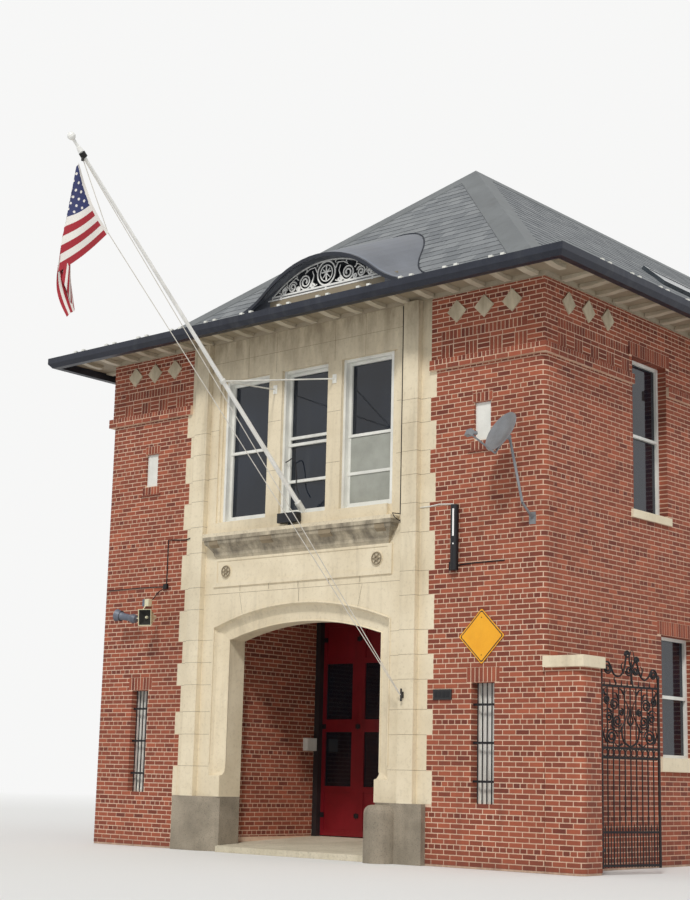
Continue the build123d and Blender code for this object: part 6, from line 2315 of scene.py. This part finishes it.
@dataclass
class FlagCloth:
    """Flag that hangs from its rope, folded once, with its fly end gathered behind."""

    head: tuple[float, float] = (0.0, -4.692)
    heading: tuple[float, float] = (0.4266, 0.9044)
    hoist: Knots = (
        (0, -0.056, 9.422), (0.27, 0.041, 9.147), (0.54, 0.165, 8.86), (0.77, 0.288, 8.661), (1, 0.422, 8.484)
    )
    fold: Knots = (
        (0, -0.087, 9.362), (0.27, -0.135, 8.971), (0.54, -0.184, 8.601), (0.7, -0.226, 8.307), (1, -0.265, 7.803)
    )
    end: Knots = (
        (0, -0.2, 7.706), (0.3, -0.056, 7.42), (0.5, 0.02, 7.33), (0.7, 0.01, 7.3), (0.85, -0.056, 7.25),
        (1, -0.101, 7.191)
    )
    width: float = 0.975
    down_steps: int = 48
    along_steps: int = 72
    billow: float = 0.05

    def place(self, along: float, z: float, side: float) -> Point:
        """Point in the rope's upright plane, moved sideways out of it."""
        hx, hy = self.heading
        return (self.head[0] + hx * along + hy * side, self.head[1] + hy * along - hx * side, z)

    def knot(self, knots: Knots, d: float) -> Vector:
        """Place on a line of knots.

        Args:
            knots: The line.
            d: From 0 at the hoist's head to 1 at its foot.

        Returns:
            Distance along the rope's plane, and height.
        """
        i = next(k for k in range(len(knots) - 1) if knots[k + 1][0] >= d)
        (d0, *start), (d1, *end) = knots[i], knots[i + 1]
        return Vector(start).lerp(Vector(end), (d - d0) / (d1 - d0))

    def surface(self, d: float, s: float) -> Point:
        """Place of one point of the cloth.

        Args:
            d: From 0 at the hoist's head to 1 at its foot.
            s: From 0 at the hoist to 1 at the fly end.

        Returns:
            The point.
        """
        start, fold, end = (self.knot(line, d) for line in (self.hoist, self.fold, self.end))
        front, back = (fold - start).length, (end - fold).length
        length = s * (front + back)
        if length < front:
            share = length / front
            swell = self.billow * math.sin(math.pi * share)
            p = start.lerp(fold, share)
            p.y -= swell * (0.4 + 0.6 * d)
            return self.place(p.x, p.y, swell + 0.022 * math.sin(9.5 * d + 2.2 * share) * share)
        turn = (length - front) / back
        p = fold.lerp(end, turn)
        p.x += 0.035 * math.sin(math.pi * turn) * (1 - 2.4 * d)
        gather = 0.045 * math.sin(8.0 * d + 0.6 * turn) * min(1.0, turn * 1.6)
        return self.place(p.x, p.y, gather - self.billow * math.sin(math.pi * turn))

    def build(self) -> None:
        """Makes the cloth: from the hoist forward to a fold, then behind it down to the gathered fly end."""
        downs = [j / self.down_steps for j in range(self.down_steps + 1)]
        alongs = [i / self.along_steps for i in range(self.along_steps + 1)]
        rows = [[self.surface(d, s) for s in alongs] for d in downs]
        down_values = [d for d in downs for _ in alongs]
        along_values = [s for _ in downs for s in alongs]
        stack = Stack("flag_sheet")
        stack.sheet(rows)
        piece = stack.build(FLAG_CLOTH, "flag_cloth", smooth=True)
        for key, values in (("down", down_values), ("along", along_values)):
            attribute = piece.data.attributes.new(key, "FLOAT", "POINT")
            attribute.data.foreach_set("value", values)
        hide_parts("flag")


# Studio


@dataclass
class Studio:
    """Pale floor, soft light and the camera at the photo's angle."""

    f_pixels: float = 1613.06
    yaw: float = 40.849
    pitch: float = 11.404
    roll: float = 1.36
    place: Point = (16.636, -18.235, 1.199)
    paper: float = 0.93
    reach: float = 600.0
    fade: tuple[float, float] = (26, 60)
    floor_level: float = -0.002
    picture_side: int = 900
    sensor: float = 36.0
    sun_way: Point = (0.36, -0.62, 0.69)

    def floor(self) -> None:
        """Pale floor that fades into the background far from the building."""
        mesh = bpy.data.meshes.new("studio_floor")
        signs = ((-1, -1), (1, -1), (1, 1), (-1, 1))
        corners = [(a * self.reach, b * self.reach, self.floor_level) for a, b in signs]
        mesh.from_pydata(corners, [], [(0, 1, 2, 3)])
        floor = bpy.data.objects.new("studio_floor", mesh)
        bpy.context.scene.collection.objects.link(floor)
        made = bpy.data.materials.new("pale_floor")
        made.use_nodes = True
        g = Graph(made.node_tree)
        nodes = made.node_tree.nodes
        shader = nodes["Principled BSDF"]
        shader.inputs["Base Color"].default_value = (0.8, 0.8, 0.79, 1)
        shader.inputs["Roughness"].default_value = 0.9
        light = g.node("ShaderNodeEmission", None, Color=(self.paper, self.paper, self.paper * 0.995, 1))
        far = g.node("ShaderNodeVectorMath", {"operation": "LENGTH"}, i0=g.where()).outputs["Value"]
        seen = g.node("ShaderNodeLightPath").outputs["Is Camera Ray"]
        both = g.maths("MULTIPLY", g.span(far, *self.fade), seen)
        blend = g.node("ShaderNodeMixShader", None, i0=both, i1=shader.outputs[0], i2=light.outputs[0])
        g.tree.links.new(blend.outputs[0], nodes["Material Output"].inputs["Surface"])
        mesh.materials.append(made)

    def light(self) -> None:
        """Pale sky all round and one broad soft lamp from the front right."""
        world = bpy.data.worlds.new("pale_sky")
        bpy.context.scene.world = world
        world.use_nodes = True
        g = Graph(world.node_tree)
        nodes = world.node_tree.nodes
        soft = nodes["Background"]
        soft.inputs["Color"].default_value = (0.96, 0.98, 1.0, 1)
        soft.inputs["Strength"].default_value = 0.55
        paper = g.node("ShaderNodeBackground", None, Color=(self.paper, self.paper, self.paper * 0.995, 1))
        rays = g.node("ShaderNodeLightPath")
        seen = g.maths("ADD", rays.outputs["Is Camera Ray"], rays.outputs["Is Glossy Ray"])
        clamped = {"operation": "ADD", "use_clamp": True}
        total = g.node("ShaderNodeMath", clamped, i0=seen, i1=rays.outputs["Is Transmission Ray"])
        blend = g.node("ShaderNodeMixShader", None, i0=total.outputs[0], i1=soft.outputs[0], i2=paper.outputs[0])
        g.tree.links.new(blend.outputs[0], nodes["World Output"].inputs["Surface"])
        lamp = bpy.data.lights.new("broad_lamp", "SUN")
        lamp.energy = 1.9
        lamp.angle = math.radians(9)
        lamp.color = (1.0, 0.97, 0.92)
        sun = bpy.data.objects.new("broad_lamp", lamp)
        sun.rotation_euler = Vector(self.sun_way).to_track_quat("Z", "Y").to_euler()
        bpy.context.scene.collection.objects.link(sun)

    def camera(self) -> None:
        """Camera at the photo's place, angle and lens."""
        yaw, pitch, roll = (math.radians(a) for a in (self.yaw, self.pitch, self.roll))
        ahead = Vector((-math.sin(yaw) * math.cos(pitch), math.cos(yaw) * math.cos(pitch), math.sin(pitch)))
        right = Vector((math.cos(yaw), math.sin(yaw), 0))
        up = right.cross(ahead)
        turned = math.cos(roll) * right + math.sin(roll) * up
        upright = -math.sin(roll) * right + math.cos(roll) * up
        data = bpy.data.cameras.new("photo_camera")
        data.sensor_width = self.sensor
        data.lens = self.f_pixels / self.picture_side * self.sensor
        data.clip_end = 2000
        camera = bpy.data.objects.new("photo_camera", data)
        turn = Matrix((turned, upright, -ahead)).transposed()
        camera.matrix_world = Matrix.Translation(self.place) @ turn.to_4x4()
        bpy.context.scene.collection.objects.link(camera)
        bpy.context.scene.camera = camera

    def build(self) -> None:
        """Sets the floor, the light, the camera and the plain view transform."""
        self.floor()
        self.light()
        self.camera()
        bpy.context.scene.view_settings.view_transform = "Standard"


def dress(nodes: dict[str, bpy.types.Object]) -> None:
    """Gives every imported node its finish.

    Args:
        nodes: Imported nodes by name.
    """
    for finish, names in CAD_FINISHES.items():
        for name in names:
            slots = nodes[name].material_slots
            if not slots:
                nodes[name].data.materials.append(finish.material())
            for slot in slots:
                slot.link = "OBJECT"
                slot.material = finish.material()
    LOG.info("dressed %d nodes", sum(len(names) for names in CAD_FINISHES.values()))


def main() -> None:
    """Builds the classes in order."""
    logging.basicConfig(level=logging.INFO, format="%(name)s: %(message)s")
    for thing in list(bpy.data.objects):
        bpy.data.objects.remove(thing)
    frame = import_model()
    dress(frame["nodes"])
    parts = (Studio, Brickwork, GroundWindow, Stonework, Openings, WallFittings, Roof, Eyebrow, Gate, FlagCloth)
    for part in parts:
        part().build()
        LOG.info("built %s", part.__name__)


if __name__ == "__main__":
    main()
